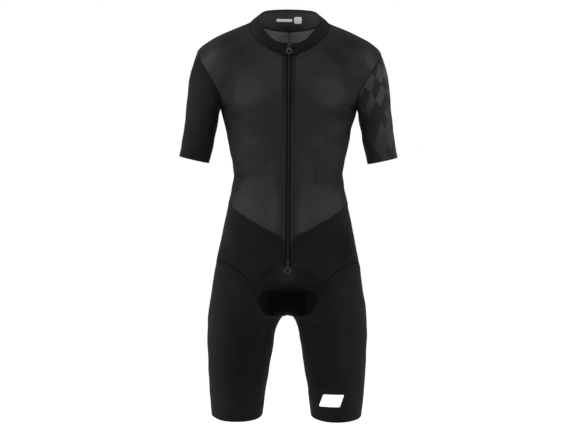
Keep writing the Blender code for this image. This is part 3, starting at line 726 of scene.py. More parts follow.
# painted highlights and shade on the smooth knit, such as the lighter outer sides of sleeves and thighs
SMOOTH_PAINTED_LIGHT = numbers("""
facing x z wide high turn strength
-1 -221 -193 16  80   0  0.08
-1 -194 -200 18  90   8  0.24
-1 -206 -270 15  55   6  0.18
-1 -136 -500 12  44  14  0.19
-1   -2 -576 22  20   0  0.22
-1  140 -506 16  50 -14 -0.16
-1 -132 -524 20  40  14 -0.12
-1  108 -556 24  14 -10  0.09
-1  -14 -555  9  12 -30  0.15
-1   15 -552  9  10  30  0.12
-1    0 -597 80   8   0 -0.06
-1 -116 -483 18  34  14 -0.09
-1  118 -483 18  34 -14 -0.07
-1  -72 -767 16  90   4 -0.07
-1  -64 -586 24  10  28 -0.07
-1   66 -598 28  10 -28 -0.07
-1   62 -564 28   7 -28  0.07
-1  -62 -558 26   7  28  0.04
-1    0 -605 66   9   0 -0.17
-1 -178 -640 20 110   4  0.14
-1 -112 -770 28  84   0 -0.08
-1   82 -780 28  84   0 -0.07
-1  164 -700 14 130  -2  0.08
-1  128 -730 16  90   0   0.1
-1 -146 -872 24  24   0  0.09
-1  112 -872 40  24   0  0.05
-1 -130 -610 20  26 -30  0.05
-1  130 -610 20  26  30  0.05
 1  -80 -560 46  60   8   0.1
 1   82 -556 46  60  -8  0.09
 1  -90 -640 40  18  14 -0.08
 1   92 -644 40  18 -14 -0.08
 1 -120 -770 30  80   0 -0.05
 1  118 -774 30  80   0 -0.05
""")
# painted light: lighter zones on the chest and belly, where the stretched mesh lets the lit inside show
# through
PAINTED_LIGHT_PATCHES = [
    # strength, and the outline's corners: x, z and softness
    (0.08, "-128 -181 5, -106 -193 5, -64 -181 5, -34 -161 5, -18 -140 8, -16 -75 20, -50 -48 20, "
     "-93 -47 14, -124 -114 9"),
    (0.13, "-126 -176 8, -106 -188 7, -66 -176 9, -52 -160 16, -66 -128 20, -104 -118 16, -124 -140 9"),
    (0.08, "31 -147 5, 47 -171 5, 73 -188 5, 99 -193 5, 128 -181 8, 131 -161 9, 125 -121 10, "
     "100 -72 16, 60 -48 20, 16 -62 20, 15 -120 8"),
    (0.13, "60 -170 9, 80 -183 7, 104 -188 7, 126 -176 9, 127 -150 10, 112 -124 16, 76 -120 20, "
     "56 -142 16"),
    (0.17, "-128 -404 8, -128 -450 8, -30 -505 8, -24 -420 8, -30 -352 12, -64 -349 10, -92 -353 10, "
     "-112 -375 8"),
    (0.08, "-52 -352 8, -26 -352 8, -28 -316 8, -46 -318 8"),
    (0.15, "24 -420 8, 30 -505 8, 128 -450 8, 126 -404 8, 117 -381 9, 87 -373 10, 34 -366 12"),
    (0.08, "34 -372 8, 58 -368 8, 54 -312 8, 40 -310 8"),
]
MESH_BASE, SMOOTH_BASE, INSERT_BASE, COLLAR_BASE, EVEN_BASE = 0.24, 0.25, 0.67, 0.19, 0.3  # tones
# outlines of the insert's darker middle: partly its own black cloth, partly painted shade under the crotch
INSERT_WIDE = "-64 -700 4, 62 -700 4, 70 -640 4, 60 -606 4, -56 -606 4, -70 -640 4"
INSERT_CORE = "-48 -700 5, 44 -700 5, 43 -650 5, 50 -614 5, -44 -614 5, -48 -650 5"


def patch(a, b, outline):
    """How far inside an outline each place is: 1 well inside, 0 outside."""
    corners = [tuple(map(float, corner.split())) for corner in outline.split(",")]
    share = np.ones_like(a)
    for (a0, b0, soft), (a1, b1, _) in zip(corners, corners[1:] + corners[:1]):
        inward = ((a1 - a0) * (b - b0) - (b1 - b0) * (a - a0)) / math.hypot(a1 - a0, b1 - b0)
        share = share * soft_step(-0.7 * soft, 0.7 * soft, inward)
    return share


def toward(facing, normal):
    """1 where a piece faces the front (-1) or the back (1), and 0 where it faces away."""
    return soft_step(-0.1, 0.3, facing * normal[..., 1])


def painted_light(grid, normal, ovals):
    """The painted light and shade that a table's ovals add to a piece's tone."""
    x, _, z = np.moveaxis(grid, 2, 0)
    tone = np.zeros_like(x)
    for facing, x0, z0, wide, high, turn, strength in ovals:
        c, s = math.cos(math.radians(turn)), math.sin(math.radians(turn))
        across, up = (c * (x - x0) + s * (z - z0)) / wide, (c * (z - z0) - s * (x - x0)) / high
        tone += strength * bell(across) * bell(up) * toward(facing, normal)
    return tone


def mesh_tone(grid, normal):
    x, _, z = np.moveaxis(grid, 2, 0)
    # painted highlights and shade from the ovals, then painted light from the patches
    tone = MESH_BASE + painted_light(grid, normal, MESH_PAINTED_LIGHT)
    for strength, outline in PAINTED_LIGHT_PATCHES:
        tone += strength * patch(x, z, outline) * toward(-1, normal)
    # painted shade where the mesh faces sideways below the armpits
    return tone - 0.2 * soft_step(0.55, 1.0, np.abs(normal[..., 0])) * soft_step(-100, -180, z)


def smooth_tone(grid, normal):
    # painted highlights and shade on the smooth knit
    return SMOOTH_BASE + painted_light(grid, normal, SMOOTH_PAINTED_LIGHT)


def insert_tone(grid, normal):
    """The insert is black in the middle, a little lighter round that, and lightest at its upper corners:
    partly its own black cloth and partly painted shade under the crotch, with a painted highlight at the top
    of the arch.
    """
    x, _, z = np.moveaxis(grid, 2, 0)
    front = soft_step(-0.2, 0.2, -normal[..., 1])
    sides = 1 - soft_step(48, 68, np.abs(x))
    # painted highlight at the top of the crotch's arch
    arch_highlight = 0.25 * bell((x + 3) / 11) * bell((z + 667) / 5)
    # partly the insert's own black cloth, partly painted shade under the crotch
    dark = 0.47 * patch(x, z, INSERT_WIDE) + 0.2 * patch(x, z, INSERT_CORE)
    return INSERT_BASE - lerp(INSERT_BASE * sides, dark, front) + arch_highlight


def tape_tone(grid, normal):
    """The tape is dark below the waist, lighter above it and darker near the collar; painted shade darkens it
    most beside the coil, deeper on the wearer's right.
    """
    x, _, z = np.moveaxis(grid, 2, 0)
    tone = lerp(0.20, 0.62, soft_step(-510, -480, z)) - 0.3 * soft_step(-230, -150, z)
    tone -= 0.08 * soft_step(-120, -100, z) * (x < 0)
    # painted shade beside the coil, deeper on the wearer's right
    return tone - np.where(x < 0, 0.5, 0.3) * bell((np.abs(x) - 3.4) / 1.3)


def collar_tone(grid, normal):
    """Painted light: the collar is lighter at its sides, more so on the wearer's right."""
    x = grid[..., 0]
    return COLLAR_BASE + soft_step(45, 80, np.abs(x)) * np.where(x < 0, 0.26, 0.08)


def collar_under_tone(grid):
    """Inside the collar: darker along its upper edge and below the badge, with painted highlights of two
    slanting folds.
    """
    far, x, z = edge_distance(grid, False), grid[..., 0], grid[..., 2]
    tone = 0.36 - collar_tone(grid, None) - 0.22 * (1 - soft_step(4, 9, far["high"]))
    tone -= 0.16 * (1 - soft_step(12, 20, far["low"])) * (1 - soft_step(20, 42, np.abs(x)))
    # painted highlights of two slanting folds
    for x0, lean in ((-39, 0.5), (32, -0.5)):
        tone += 0.12 * bell((x - x0 - lean * (z - 28)) / 2.5) * bell((z - 28) / 8)
    return tone


def mesh_under_tone(grid):
    """Inside the mesh: lighter below the neck, to make up for the light that doesn't reach it there."""
    return 0.3 * soft_step(-4, -28, grid[..., 2])


def even_tone(grid, normal):
    return np.full(grid.shape[:2], EVEN_BASE)


INSIDE_TONES = {collar_tone: collar_under_tone, mesh_tone: mesh_under_tone}  # added on the inner face

# The mesh's wales come together at the waist: a wale's distance from the middle grows by lean, in
# millimetres, from its place at the waist.
WALE_LEAN = numbers("""
height lean
-505 40
-470 27
-430 11
-390  2
-350  0
-290  0
-240  4
-200 16
-150 40
-100 64
 -50 84
   0 92
""")
WALE_PITCH = 4.7


def mesh_places(cloth):
    """Knit coordinates of the mesh: wales out from the middle, and millimetres of height."""
    inner = "start" if abs(cloth.grid[0, 0, 0]) < abs(cloth.grid[0, -1, 0]) else "end"
    edge = cloth.grid[:, :1, 0] if inner == "start" else cloth.grid[:, -1:, 0]
    z = cloth.grid[..., 2]
    lean = np.interp(z, *zip(*WALE_LEAN))
    return (cloth.distance[inner] + np.abs(edge) - lean) / WALE_PITCH, z


# From grids to shells.

RIM = 3  # points round an edge, between its outer and inner face
NEVER = 1e9  # the distance from an edge that a closed piece doesn't have


def spread(grid, closed):
    """Steps along the columns and along the rows at each point."""
    along = (np.roll(grid, -1, axis=1) - np.roll(grid, 1, axis=1)) if closed else np.gradient(grid, axis=1)
    return along, np.gradient(grid, axis=0)


def edge_distance(grid, closed):
    """Distance of each point from each edge of its piece, measured along the cloth."""
    high = np.stack([run_length(column) for column in grid.swapaxes(0, 1)], axis=1)
    wide = np.stack([run_length(row) for row in grid])
    far = np.full(grid.shape[:2], NEVER)
    return {
        "low": high,
        "high": high[-1:] - high,
        "start": far if closed else wide,
        "end": far if closed else wide[:, -1:] - wide,
    }


def add_object(name, data):
    made = bpy.data.objects.new(name, data)
    bpy.context.scene.collection.objects.link(made)
    return made


class Cloth:
    """One cut piece: its grid, what happens at its edges, and the shell made from it."""

    def __init__(self, node, grid, seams=None, hems=None, closed=False, wall=WALL, lift=0.0, tone=even_tone):
        """Seams are edge: (darkness of the painted shade along it, depth of the groove), hems are edge:
        width.
        """
        self.node, self.grid, self.closed, self.seams = node, grid, closed, seams or {}
        along, up = spread(grid, closed)
        self.normal = unit(np.cross(along, up))
        self.distance = edge_distance(grid, closed)
        self.seam = np.zeros(grid.shape[:2])
        down, thick = relief(grid, self.normal) - lift, np.zeros(grid.shape[:2])
        for side, (strength, tuck) in self.seams.items():
            down = down + tuck * bell(self.distance[side] / TUCK_WIDTH)
            # painted shade along the seam, for the shadow in its groove
            self.seam = np.maximum(self.seam, strength * bell(self.distance[side] / SEAM_SHADE_WIDTH))
        for side, width in (hems or {}).items():
            past = self.distance[side] - width
            thick = thick + HEM_RISE * (1 - soft_step(-0.8, 0.8, past))
            down = down + HEM_GROOVE * bell((past + 1.5) / 1.1)
        moved = grid + self.lap(along, up)
        self.outer = moved - self.normal * (down - thick)[..., None]
        self.inner = moved - self.normal * (down + wall)[..., None]
        # the tone, with painted shade in the creases and painted light on their ridges
        self.tone = tone(grid, self.normal) - CREASE_SHADING * creases(grid, self.normal)
        self.under = self.tone + INSIDE_TONES[tone](grid) if tone in INSIDE_TONES else self.tone
        self.places = mesh_places(self) if tone is mesh_tone else self.plain_places()

    def lap(self, along, up):
        """Moves the edges at seams outwards a little, so that neighbours touch."""
        move = np.zeros_like(self.grid)
        reach = SEAM_LAP + NECK_LAP * soft_step(-76, -66, self.grid[..., 2:])
        places = {"low": np.s_[0, :], "high": np.s_[-1, :], "start": np.s_[:, 0], "end": np.s_[:, -1]}
        out = {"low": -unit(up), "high": unit(up), "start": -unit(along), "end": unit(along)}
        for side in self.seams:
            move[places[side]] += (out[side] * reach)[places[side]]
        return move

    def rim(self, row, before):
        """Points that round the edge between the outer and the inner face of a row."""
        outer, inner = self.outer[row], self.inner[row]
        middle, half = (outer + inner) / 2, (outer - inner) / 2
        reach = 0.15 if ("high" if row == -1 else "low") in self.seams else 0.9
        away = unit(outer - self.outer[before]) * np.linalg.norm(half, axis=1)[:, None] * reach
        turns = np.linspace(0, math.pi, RIM + 2)[1:-1]
        return [middle + half * math.cos(t) + away * math.sin(t) for t in turns]

    def build(self, name, outside, inside):
        """The shell as an object, with its knit coordinates, its tone with its painted light and shade, and
        its seam's painted shade at every point.
        """
        rows, columns = self.grid.shape[:2]
        loop = np.concatenate([self.outer, self.rim(-1, -2), self.inner[::-1], self.rim(0, 1)[::-1]])
        count = len(loop)
        size = np.concatenate([np.arange(rows), [rows - 1] * RIM, np.arange(rows)[::-1], [0] * RIM])
        faces, corners = self.faces(count, columns)
        level = faces // columns
        inner_side = (level[:, 0] >= rows + RIM) & (level[:, 0] < count - RIM) & (level[:, 2] <= count - RIM)
        mesh = bpy.data.meshes.new(name)
        caps = [] if self.closed else self.caps(rows, columns, count)
        mesh.from_pydata((loop.reshape(-1, 3) * MM).tolist(), [], faces.tolist() + caps)
        places = np.stack(self.places, axis=-1)
        if self.closed:
            places = np.concatenate([places, places[:, :1] + [self.around(), 0]], axis=1)
        used = places[size[corners[..., 0]], corners[..., 1]].reshape(-1, 2)
        both = np.zeros((len(mesh.loops), 2), np.float32)
        both[: len(used)] = used
        mesh.uv_layers.new(name="knit").data.foreach_set("uv", both.ravel())
        tone = self.tone[size]
        tone[rows + RIM : count - RIM] = self.under[::-1]
        for key, values in (("tone", tone), ("seam", self.seam[size])):
            layer = mesh.attributes.new(key, "FLOAT", "POINT")
            layer.data.foreach_set("value", values.ravel().astype(np.float32))
        kinds = np.zeros(len(mesh.polygons), np.int32)
        kinds[: len(faces)] = inner_side
        mesh.materials.append(outside)
        mesh.materials.append(inside)
        mesh.polygons.foreach_set("material_index", kinds)
        mesh.shade_smooth()
        return add_object(name, mesh)

    def faces(self, count, columns):
        """Quads between the columns of the closed loop of rows, and the row and column of each corner."""
        across = np.arange(columns if self.closed else columns - 1)
        row, j = (places.ravel() for places in np.meshgrid(np.arange(count), across, indexing="ij"))
        after = (row + 1) % count
        pairs = ((row, j), (row, j + 1), (after, j + 1), (after, j))
        corners = np.stack([np.stack(pair, 1) for pair in pairs], 1)
        return corners[..., 0] * columns + corners[..., 1] % columns, corners

    def caps(self, rows, columns, count):
        """Faces that close a piece at its first and last column."""
        pairs = [(i, i + 1, count - RIM - 2 - i, count - RIM - 1 - i) for i in range(rows - 1)]
        pairs += [tuple(range(rows - 1, rows + RIM + 1)), (*range(count - RIM - 1, count), 0)]
        start = [[row * columns for row in pair] for pair in pairs]
        return start + [[row * columns + columns - 1 for row in pair[::-1]] for pair in pairs]

    def around(self):
        return float(np.linalg.norm(np.roll(self.grid, -1, axis=1) - self.grid, axis=2).sum(axis=1).mean())

    def plain_places(self):
        """Knit coordinates: millimetres across the piece and up it."""
        if self.closed:
            across = np.arange(self.grid.shape[1]) / self.grid.shape[1] * self.around()
            return np.tile(across, (self.grid.shape[0], 1)), self.distance["low"]
        return self.distance["start"], self.distance["low"]

    def line(self, side, inset):
        """Points and normals along an edge, a little inside it."""
        joined, far = np.concatenate([self.outer, self.normal], axis=2), self.distance[side]
        if side in ("start", "end"):
            joined, far = joined.swapaxes(0, 1), far.T
        if side in ("high", "end"):
            joined, far = joined[::-1], far[::-1]
        found = np.concatenate([along_line([inset], far[:, j], joined[:, j]) for j in range(far.shape[1])])
        if self.closed:
            found = np.concatenate([found, found[:1]])
        return found[:, :3], unit(found[:, 3:])

    def area(self):
        grid = np.concatenate([self.grid, self.grid[:, :1]], axis=1) if self.closed else self.grid
        rising, falling = grid[1:, 1:] - grid[:-1, :-1], grid[1:, :-1] - grid[:-1, 1:]
        return np.linalg.norm(np.cross(rising, falling), axis=2).sum() / 2 * MM**2


# Materials.


class Nodes:
    """A material's node tree, with a short way to add a node and join its inputs."""

    def __init__(self, name):
        self.material = bpy.data.materials.new(name)
        self.material.use_nodes = True
        self.tree = self.material.node_tree
        self.shader = self.tree.nodes["Principled BSDF"]

    def add(self, kind, inputs=None, output=0, **settings):
        made = self.tree.nodes.new("ShaderNode" + kind)
        for key, value in settings.items():
            setattr(made, key, value)
        for key, value in (inputs or {}).items():
            self.put(made.inputs[key], value)
        return made.outputs[output]

    def put(self, socket, value):
        if isinstance(value, bpy.types.NodeSocket):
            self.tree.links.new(value, socket)
        else:
            socket.default_value = value

    def math(self, operation, *values):
        return self.add("Math", dict(enumerate(values)), operation=operation)

    def attribute(self, name):
        return self.add("Attribute", output="Fac", attribute_name=name)

    def knit(self):
        """The knit coordinates, apart: wales across and millimetres up."""
        uv = self.add("UVMap", uv_map="knit")
        return [self.add("SeparateXYZ", {0: uv}, output=axis) for axis in (0, 1)]

    def ramp(self, factor, low, high):
        """A colour between two, by a factor from 0 to 1."""
        made = self.tree.nodes.new("ShaderNodeMix")
        made.data_type, made.clamp_factor = "RGBA", True
        colors = [socket for socket in made.inputs if socket.type == "RGBA"]
        for socket, value in zip([made.inputs["Factor"], *colors], (factor, low, high)):
            self.put(socket, value)
        return [socket for socket in made.outputs if socket.type == "RGBA"][0]

    def shade(self, **inputs):
        for key, value in inputs.items():
            self.put(self.shader.inputs[key.replace("_", " ")], value)
        return self.material


def grey(value, blue=1.08):
    return (value, value, value * blue, 1)


NOISE_TONE = 0.16  # how much a knit's tone varies with blotches, and as much again with its fuzz
SEAM_SHADE_SHARE, SEAM_SHADE_MOST = 0.3, 0.006  # painted shade along the seams: its share of the knit's darkest colour, which counts up to this


def knit_nodes(name, dark, light, rib, blue=1.13, course=1.4, rib_tone=0.0, rib_bump=0.0, holes=0.0):
    """A knit's nodes: its colour runs from dark to light by tone, and wales, courses and holes raise it."""
    nodes = Nodes(name)
    wales, up = nodes.knit()
    wave = nodes.math("SINE", nodes.math("MULTIPLY", wales, math.tau / rib))
    courses = nodes.math("SINE", nodes.math("MULTIPLY", up, math.tau / course))
    fine = nodes.math("SINE", nodes.math("MULTIPLY", wales, math.tau * 3 / rib))
    place = nodes.add("NewGeometry")
    blotch = nodes.add("TexNoise", {"Vector": place, "Scale": 11.0, "Detail": 3.0, "Roughness": 0.55})
    fuzz = nodes.add("TexNoise", {"Vector": place, "Scale": 520.0, "Detail": 2.0, "Roughness": 0.6})
    tone = nodes.attribute("tone")
    tone = nodes.math("MULTIPLY_ADD", nodes.math("MULTIPLY", wave, tone), rib_tone, tone)
    for noise in (blotch, fuzz):
        tone = nodes.math("ADD", tone, nodes.math("MULTIPLY_ADD", noise, NOISE_TONE, -NOISE_TONE / 2))
    hole = nodes.math("MULTIPLY", nodes.math("MAXIMUM", fine, 0.0), nodes.math("MAXIMUM", courses, 0.0))
    tone = nodes.math("MULTIPLY_ADD", hole, -holes, nodes.math("ADD", tone, holes * 0.1))
    height = nodes.math("MULTIPLY", wave, rib_bump)
    for layer, strength in ((courses, 0.15), (hole, -2 * holes), (fuzz, 0.4)):
        height = nodes.math("MULTIPLY_ADD", layer, strength, height)
    bump = nodes.add("Bump", {"Height": height, "Strength": 0.6, "Distance": 0.0003})
    return nodes, nodes.ramp(tone, grey(dark, blue), grey(light, blue)), bump


def knit_finish(nodes, color, bump, dark, sheen=0.012, gloss=0.02):
    """The material of a knit: its colour, with painted shade along the seams, and how it shines."""
    color = nodes.ramp(nodes.attribute("seam"), color, grey(min(dark, SEAM_SHADE_MOST) * SEAM_SHADE_SHARE))
    shine = {"Specular_IOR_Level": gloss, "Sheen_Weight": sheen, "Sheen_Roughness": 0.4}
    return nodes.shade(Base_Color=color, Normal=bump, Roughness=0.75, **shine)


def cloth_shader(name, dark, light, rib, sheen=0.012, gloss=0.02, **knit):
    nodes, color, bump = knit_nodes(name, dark, light, rib, **knit)
    return knit_finish(nodes, color, bump, dark, sheen, gloss)


MOTIF_WIDE, MOTIF_HIGH = 27.0, 35.0  # a diamond of the sleeve's pattern


def motif_shader(name, dark, light, rib):
    """The smooth knit with a plain pattern of diamonds of several tones, stronger towards the shoulder."""
    nodes, body, bump = knit_nodes(name, dark, light, rib)
    across, up = nodes.knit()
    across = nodes.math("DIVIDE", across, MOTIF_WIDE)
    up_cells = nodes.math("DIVIDE", up, MOTIF_HIGH)
    first = nodes.math("FLOOR", nodes.math("ADD", across, up_cells))
    second = nodes.math("FLOOR", nodes.math("SUBTRACT", across, up_cells))
    cell = nodes.add("CombineXYZ", {"X": first, "Y": second, "Z": 3.0})
    chance = nodes.add("TexWhiteNoise", {"Vector": cell}, output="Value")
    strength = nodes.math("MULTIPLY_ADD", chance, 0.9, 0.05)
    shown = nodes.math("MULTIPLY", nodes.math("GREATER_THAN", chance, 0.55), strength)
    height = nodes.add("MapRange", {"Value": up, "From Min": 60.0, "From Max": 230.0})
    weight = nodes.math("MULTIPLY", shown, nodes.attribute("motif"))
    color = nodes.ramp(weight, body, nodes.ramp(height, grey(0.017), grey(0.027)))
    return knit_finish(nodes, color, bump, dark)


def plain_shader(name, color, rough, metallic=0.0, gloss=0.2, grain=300.0):
    """A plain finish with a fine grain in its colour and relief."""
    nodes = Nodes(name)
    place = nodes.add("NewGeometry")
    noise = nodes.add("TexNoise", {"Vector": place, "Scale": grain, "Detail": 3.0, "Roughness": 0.6})
    bump = nodes.add("Bump", {"Height": noise, "Strength": 0.5, "Distance": 0.00005})
    color = nodes.ramp(noise, grey(color * 0.7), grey(color * 1.3))
    shine = {"Roughness": rough, "Metallic": metallic, "Specular_IOR_Level": gloss}
    return nodes.shade(Base_Color=color, Normal=bump, **shine)


MESH_KNIT = cloth_shader("mesh_knit", 0.0035, 0.0275, 1.0, blue=1.1, rib_tone=0.7, rib_bump=0.8, holes=0.2)
INSIDE_LOOKS = {"blue": 1.06, "rib_tone": 0.1, "rib_bump": 0.5, "holes": 0.2}
# painted light: the inside of the mesh is far lighter than its outside, for the light that shows through the
# sheer mesh into the neck
MESH_INSIDE_PAINTED_LIGHT = cloth_shader("mesh_knit_inside_painted_light", 0.07, 0.34, 1.0, **INSIDE_LOOKS)
SMOOTH_KNIT = cloth_shader("smooth_knit", 0.0009, 0.0136, 1.6, rib_tone=0.04, rib_bump=0.2, course=1.1)
SLEEVE_MOTIF = motif_shader("smooth_knit_motif", 0.0014, 0.0280, 1.6)
SMOOTH_INSIDE = cloth_shader("smooth_knit_inside", 0.006, 0.03, 1.6, rib_tone=0.04, rib_bump=0.2)
INSERT_KNIT = cloth_shader("insert_knit", 0.0006, 0.006, 2.4, blue=1.05, rib_tone=0.05, sheen=0.0, gloss=0.01)
COLLAR_INSIDE = cloth_shader("collar_inside", 0.011, 0.066, 1.2, blue=1.09, rib_tone=0.06, rib_bump=0.3)
TAPE_LOOKS = {"blue": 1.14, "course": 0.7, "rib_tone": 0.12, "rib_bump": 0.6}
TAPE_WEAVE = cloth_shader("tape_weave", 0.0014, 0.015, 1.2, **TAPE_LOOKS)
BINDING_KNIT = cloth_shader("binding_knit", 0.0018, 0.0125, 1.1, rib_tone=0.1, rib_bump=0.5)
THREAD = plain_shader("thread", 0.004, 0.7, gloss=0.05)
BAND_THREAD = plain_shader("band_thread", 0.010, 0.7, gloss=0.05)
COIL_PLASTIC = plain_shader("coil_plastic", 0.008, 0.55, gloss=0.1)
COIL_BED = plain_shader("coil_bed", 0.001, 0.7, gloss=0.02)
GUNMETAL = plain_shader("gunmetal", 0.022, 0.36, metallic=0.95, gloss=0.5, grain=900.0)
DARK_METAL = plain_shader("dark_metal", 0.014, 0.42, metallic=0.9, gloss=0.5, grain=900.0)
BADGE_PRINT = plain_shader("badge_print", 0.62, 0.6, gloss=0.1)


# The cut pieces.

CLOTHS = {}
OPPOSITE = {"start": "end", "end": "start"}  # on the mirrored piece the first and last columns change places
MIN_SHEET = 0.0105  # the least side that a sheet may state, in metres


def dress(cloth, outside, inside):
    """Stands a cut piece's shell for its solid."""
    made = cloth.build(cloth.node + "_cloth", outside, inside)
    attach(made, BODY)
    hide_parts(cloth.node)
    wide, high = (
        max(np.linalg.norm(np.diff(cloth.grid, axis=axis), axis=2).sum(axis=axis).max() * MM, MIN_SHEET)
        for axis in (1, 0)
    )
    min(cloth.area(), wide * high)
    CLOTHS[cloth.node] = cloth
    return made


MESH = (MESH_KNIT, MESH_INSIDE_PAINTED_LIGHT, "mesh_knit")
SMOOTH = (SMOOTH_KNIT, SMOOTH_INSIDE, "smooth_knit")
PRINTED = (SLEEVE_MOTIF, SMOOTH_INSIDE, "smooth_knit")
BOUND = (BINDING_KNIT, SMOOTH_INSIDE, "waist_binding")
WOVEN = (TAPE_WEAVE, TAPE_WEAVE, "zip_tape")


def dress_pair(name, grid, seams, finish=SMOOTH, tone=smooth_tone, **rest):
    """Both halves of a cut piece, from the left one's grid and seams."""
    outside, inside, slot = finish
    made = dress(Cloth(name + "_left", grid, seams, tone=tone, **rest), outside, inside)
    if outside is SLEEVE_MOTIF:
        add_motif_weight(made)
        outside = SMOOTH_KNIT
    flipped = {OPPOSITE.get(edge, edge): seam for edge, seam in seams.items()}
    dress(Cloth(name + "_right", mirrored(grid), flipped, tone=tone, **rest), outside, inside)


def dress_suit():
    """Every cut piece, with the darkness of the painted shade and the groove's depth of the seam at each
    edge.
    """
    edges = {"low": (0.2, 0.4), "high": (0.4, 0.5)}
    front_edges = edges | {"start": (0.15, 0.15), "end": (0.45, 0.5)}
    dress_pair("front", trunk_panel(-1), front_edges, MESH, mesh_tone)
    dress_pair("back", trunk_panel(1), edges | {"start": (0.9, 0.55), "end": (0.7, 0.5)}, MESH, mesh_tone)
    edges = {"low": (0.5, 0.4), "high": (0.3, 0.3), "start": (0.5, 0.5), "end": (0.5, 0.5)}
    dress_pair("waist_binding", binding_panel(), edges, BOUND, even_tone, lift=BINDING_LIFT)
    edges = {"low": (0.85, 0.7), "high": (0.3, 0.3)}
    dress_pair("front_yoke", hip_panel(-1), edges | {"start": (0.2, 0.3), "end": (0.2, 0.4)})
    dress_pair("seat", hip_panel(1), edges | {"start": (0.2, 0.4), "end": (0.5, 0.5)})
    dress_pair("leg", leg_panel(), {"low": (0.0, 0.25), "high": (0.85, 0.7)}, closed=True)
    dress_pair("leg_band", band_panel(), {"high": (0.0, 0.25)}, hems={"low": 58.0}, closed=True)
    dress_pair("sleeve", sleeve_panel(), {"high": (0.45, 0.5)}, PRINTED, hems={"low": 14.0}, closed=True)
    edges = {"start": (1.0, 0.6), "end": (0.15, 0.15)}
    dress_pair("zip_tape", tape_panel(), edges, WOVEN, tape_tone, lift=TAPE_LIFT)
    edges = {"low": (1.0, 0.15), "start": (0.6, 0.4), "end": (0.6, 0.4)}
    collar = Cloth("collar", collar_panel(), edges, wall=COLLAR_WALL, tone=collar_tone)
    dress(collar, SMOOTH_KNIT, COLLAR_INSIDE)
    edges = {"low": (0.12, 0.4), "high": (0.1, 0.4), "start": (0.15, 0.5), "end": (0.15, 0.5)}
    insert = Cloth("crotch_insert", insert_panel(), edges, tone=insert_tone)
    dress(insert, INSERT_KNIT, SMOOTH_INSIDE)


def add_motif_weight(made):
    """How strongly the sleeve's pattern shows: over the front and the outer side."""
    points = np.array([vertex.co for vertex in made.data.vertices]) / MM
    normal = np.array([vertex.normal for vertex in made.data.vertices])
    weight = soft_step(-0.9, -0.3, normal[:, 0]) * soft_step(0.75, 0.2, normal[:, 1])
    weight *= soft_step(-330, -300, points[:, 2])
    made.data.attributes.new("motif", "FLOAT", "POINT").data.foreach_set("value", weight.astype(np.float32))


# Sewing, the zip and the small prints.

STITCHES = [
    # cut piece, edge, distance from it, pitch, length, slant
    ("waist_binding", "low", 1.3, 2.6, 1.8, 0),
    ("waist_binding", "high", 1.3, 2.6, 1.8, 0),
    ("leg", "high", 2.4, 2.8, 1.9, 0),
    ("leg", "low", 2.6, 2.2, 2.1, 32),
    ("leg_band", "high", 2.6, 2.2, 2.1, 32),
    ("sleeve", "high", 2.4, 2.8, 1.9, 0),
    ("back", "end", 2.3, 2.8, 1.9, 0),
    ("seat", "end", 2.3, 2.8, 1.9, 0),
    ("zip_tape", "start", 1.4, 2.2, 1.6, 0),
]
THREAD_RADIUS = 0.2
POD_SIDES = 5


def pods(centre, along, out, half, radius):
    """Small pointed rods, as vertices and faces: half is their half length."""
    side = unit(np.cross(out, along))
    points = [centre - along * half]
    for level in (-0.62, 0.62):
        for turn in np.arange(POD_SIDES) * math.tau / POD_SIDES:
            across = side * math.cos(turn) + out * math.sin(turn)
            points.append(centre + along * half * level + across * radius)
    points.append(centre + along * half)
    n = POD_SIDES
    pattern = [(0, 1 + (i + 1) % n, 1 + i) for i in range(n)]
    pattern += [(1 + i, 1 + (i + 1) % n, 1 + n + (i + 1) % n, 1 + n + i) for i in range(n)]
    pattern += [(1 + 2 * n, 1 + n + i, 1 + n + (i + 1) % n) for i in range(n)]
    vertices = np.stack(points, axis=1)
    firsts = range(0, len(centre) * len(points), len(points))
    faces = [tuple(first + corner for corner in face) for first in firsts for face in pattern]
    return vertices.reshape(-1, 3), faces


def add_mesh(name, parts, material):
    """One object from several lots of vertices and faces, riding on the suit."""
    vertices, faces, total = [], [], 0
    for points, corners in parts:
        faces += [tuple(total + corner for corner in face) for face in corners]
        vertices.append(points)
        total += len(points)
    mesh = bpy.data.meshes.new(name)
    mesh.from_pydata((np.concatenate(vertices) * MM).tolist(), [], faces)
    mesh.materials.append(material)
    mesh.shade_smooth()
    made = add_object(name, mesh)
    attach(made, BODY)


def sew(points, normals, pitch, length, slant):
    """Stitches along a line of points."""
    far = run_length(points)
    count = int(far[-1] / pitch)
    at = (np.arange(count) + 0.5) * far[-1] / count
    centre, out = along_line(at, far, points), unit(along_line(at, far, normals))
    along = unit(along_line(at + 0.5, far, points) - along_line(at - 0.5, far, points))
    turn = np.radians(slant) * np.where(np.arange(count) % 2, 1, -1)[:, None]
    along = along * np.cos(turn) + np.cross(out, along) * np.sin(turn)
    return pods(centre + out * THREAD_RADIUS * 0.4, along, out, length / 2, THREAD_RADIUS)


def sew_suit():
    for name, edge, inset, pitch, length, slant in STITCHES:
        left, right = CLOTHS[name + "_left"], CLOTHS[name + "_right"]
        lines = left.line(edge, inset), right.line(OPPOSITE.get(edge, edge), inset)
        parts = [sew(*line, pitch, length, slant) for line in lines]
        add_mesh(f"stitches_{name}_{edge}", parts, BAND_THREAD if slant else THREAD)
    add_mesh("stitches_collar", [sew(*CLOTHS["collar"].line("low", 2.2), 2.8, 1.9, 0)], THREAD)


TOOTH_PITCH = 1.5
TOOTH_HALF = 1.75
TOOTH_RADIUS = 0.42
TOOTH_RISE, TOOTH_MIDDLE, TOOTH_TILT = 0.5, 0.95, 0.12
BED_WALL, BED_EDGE, BED_CROWN = 0.9, 0.1, 0.25


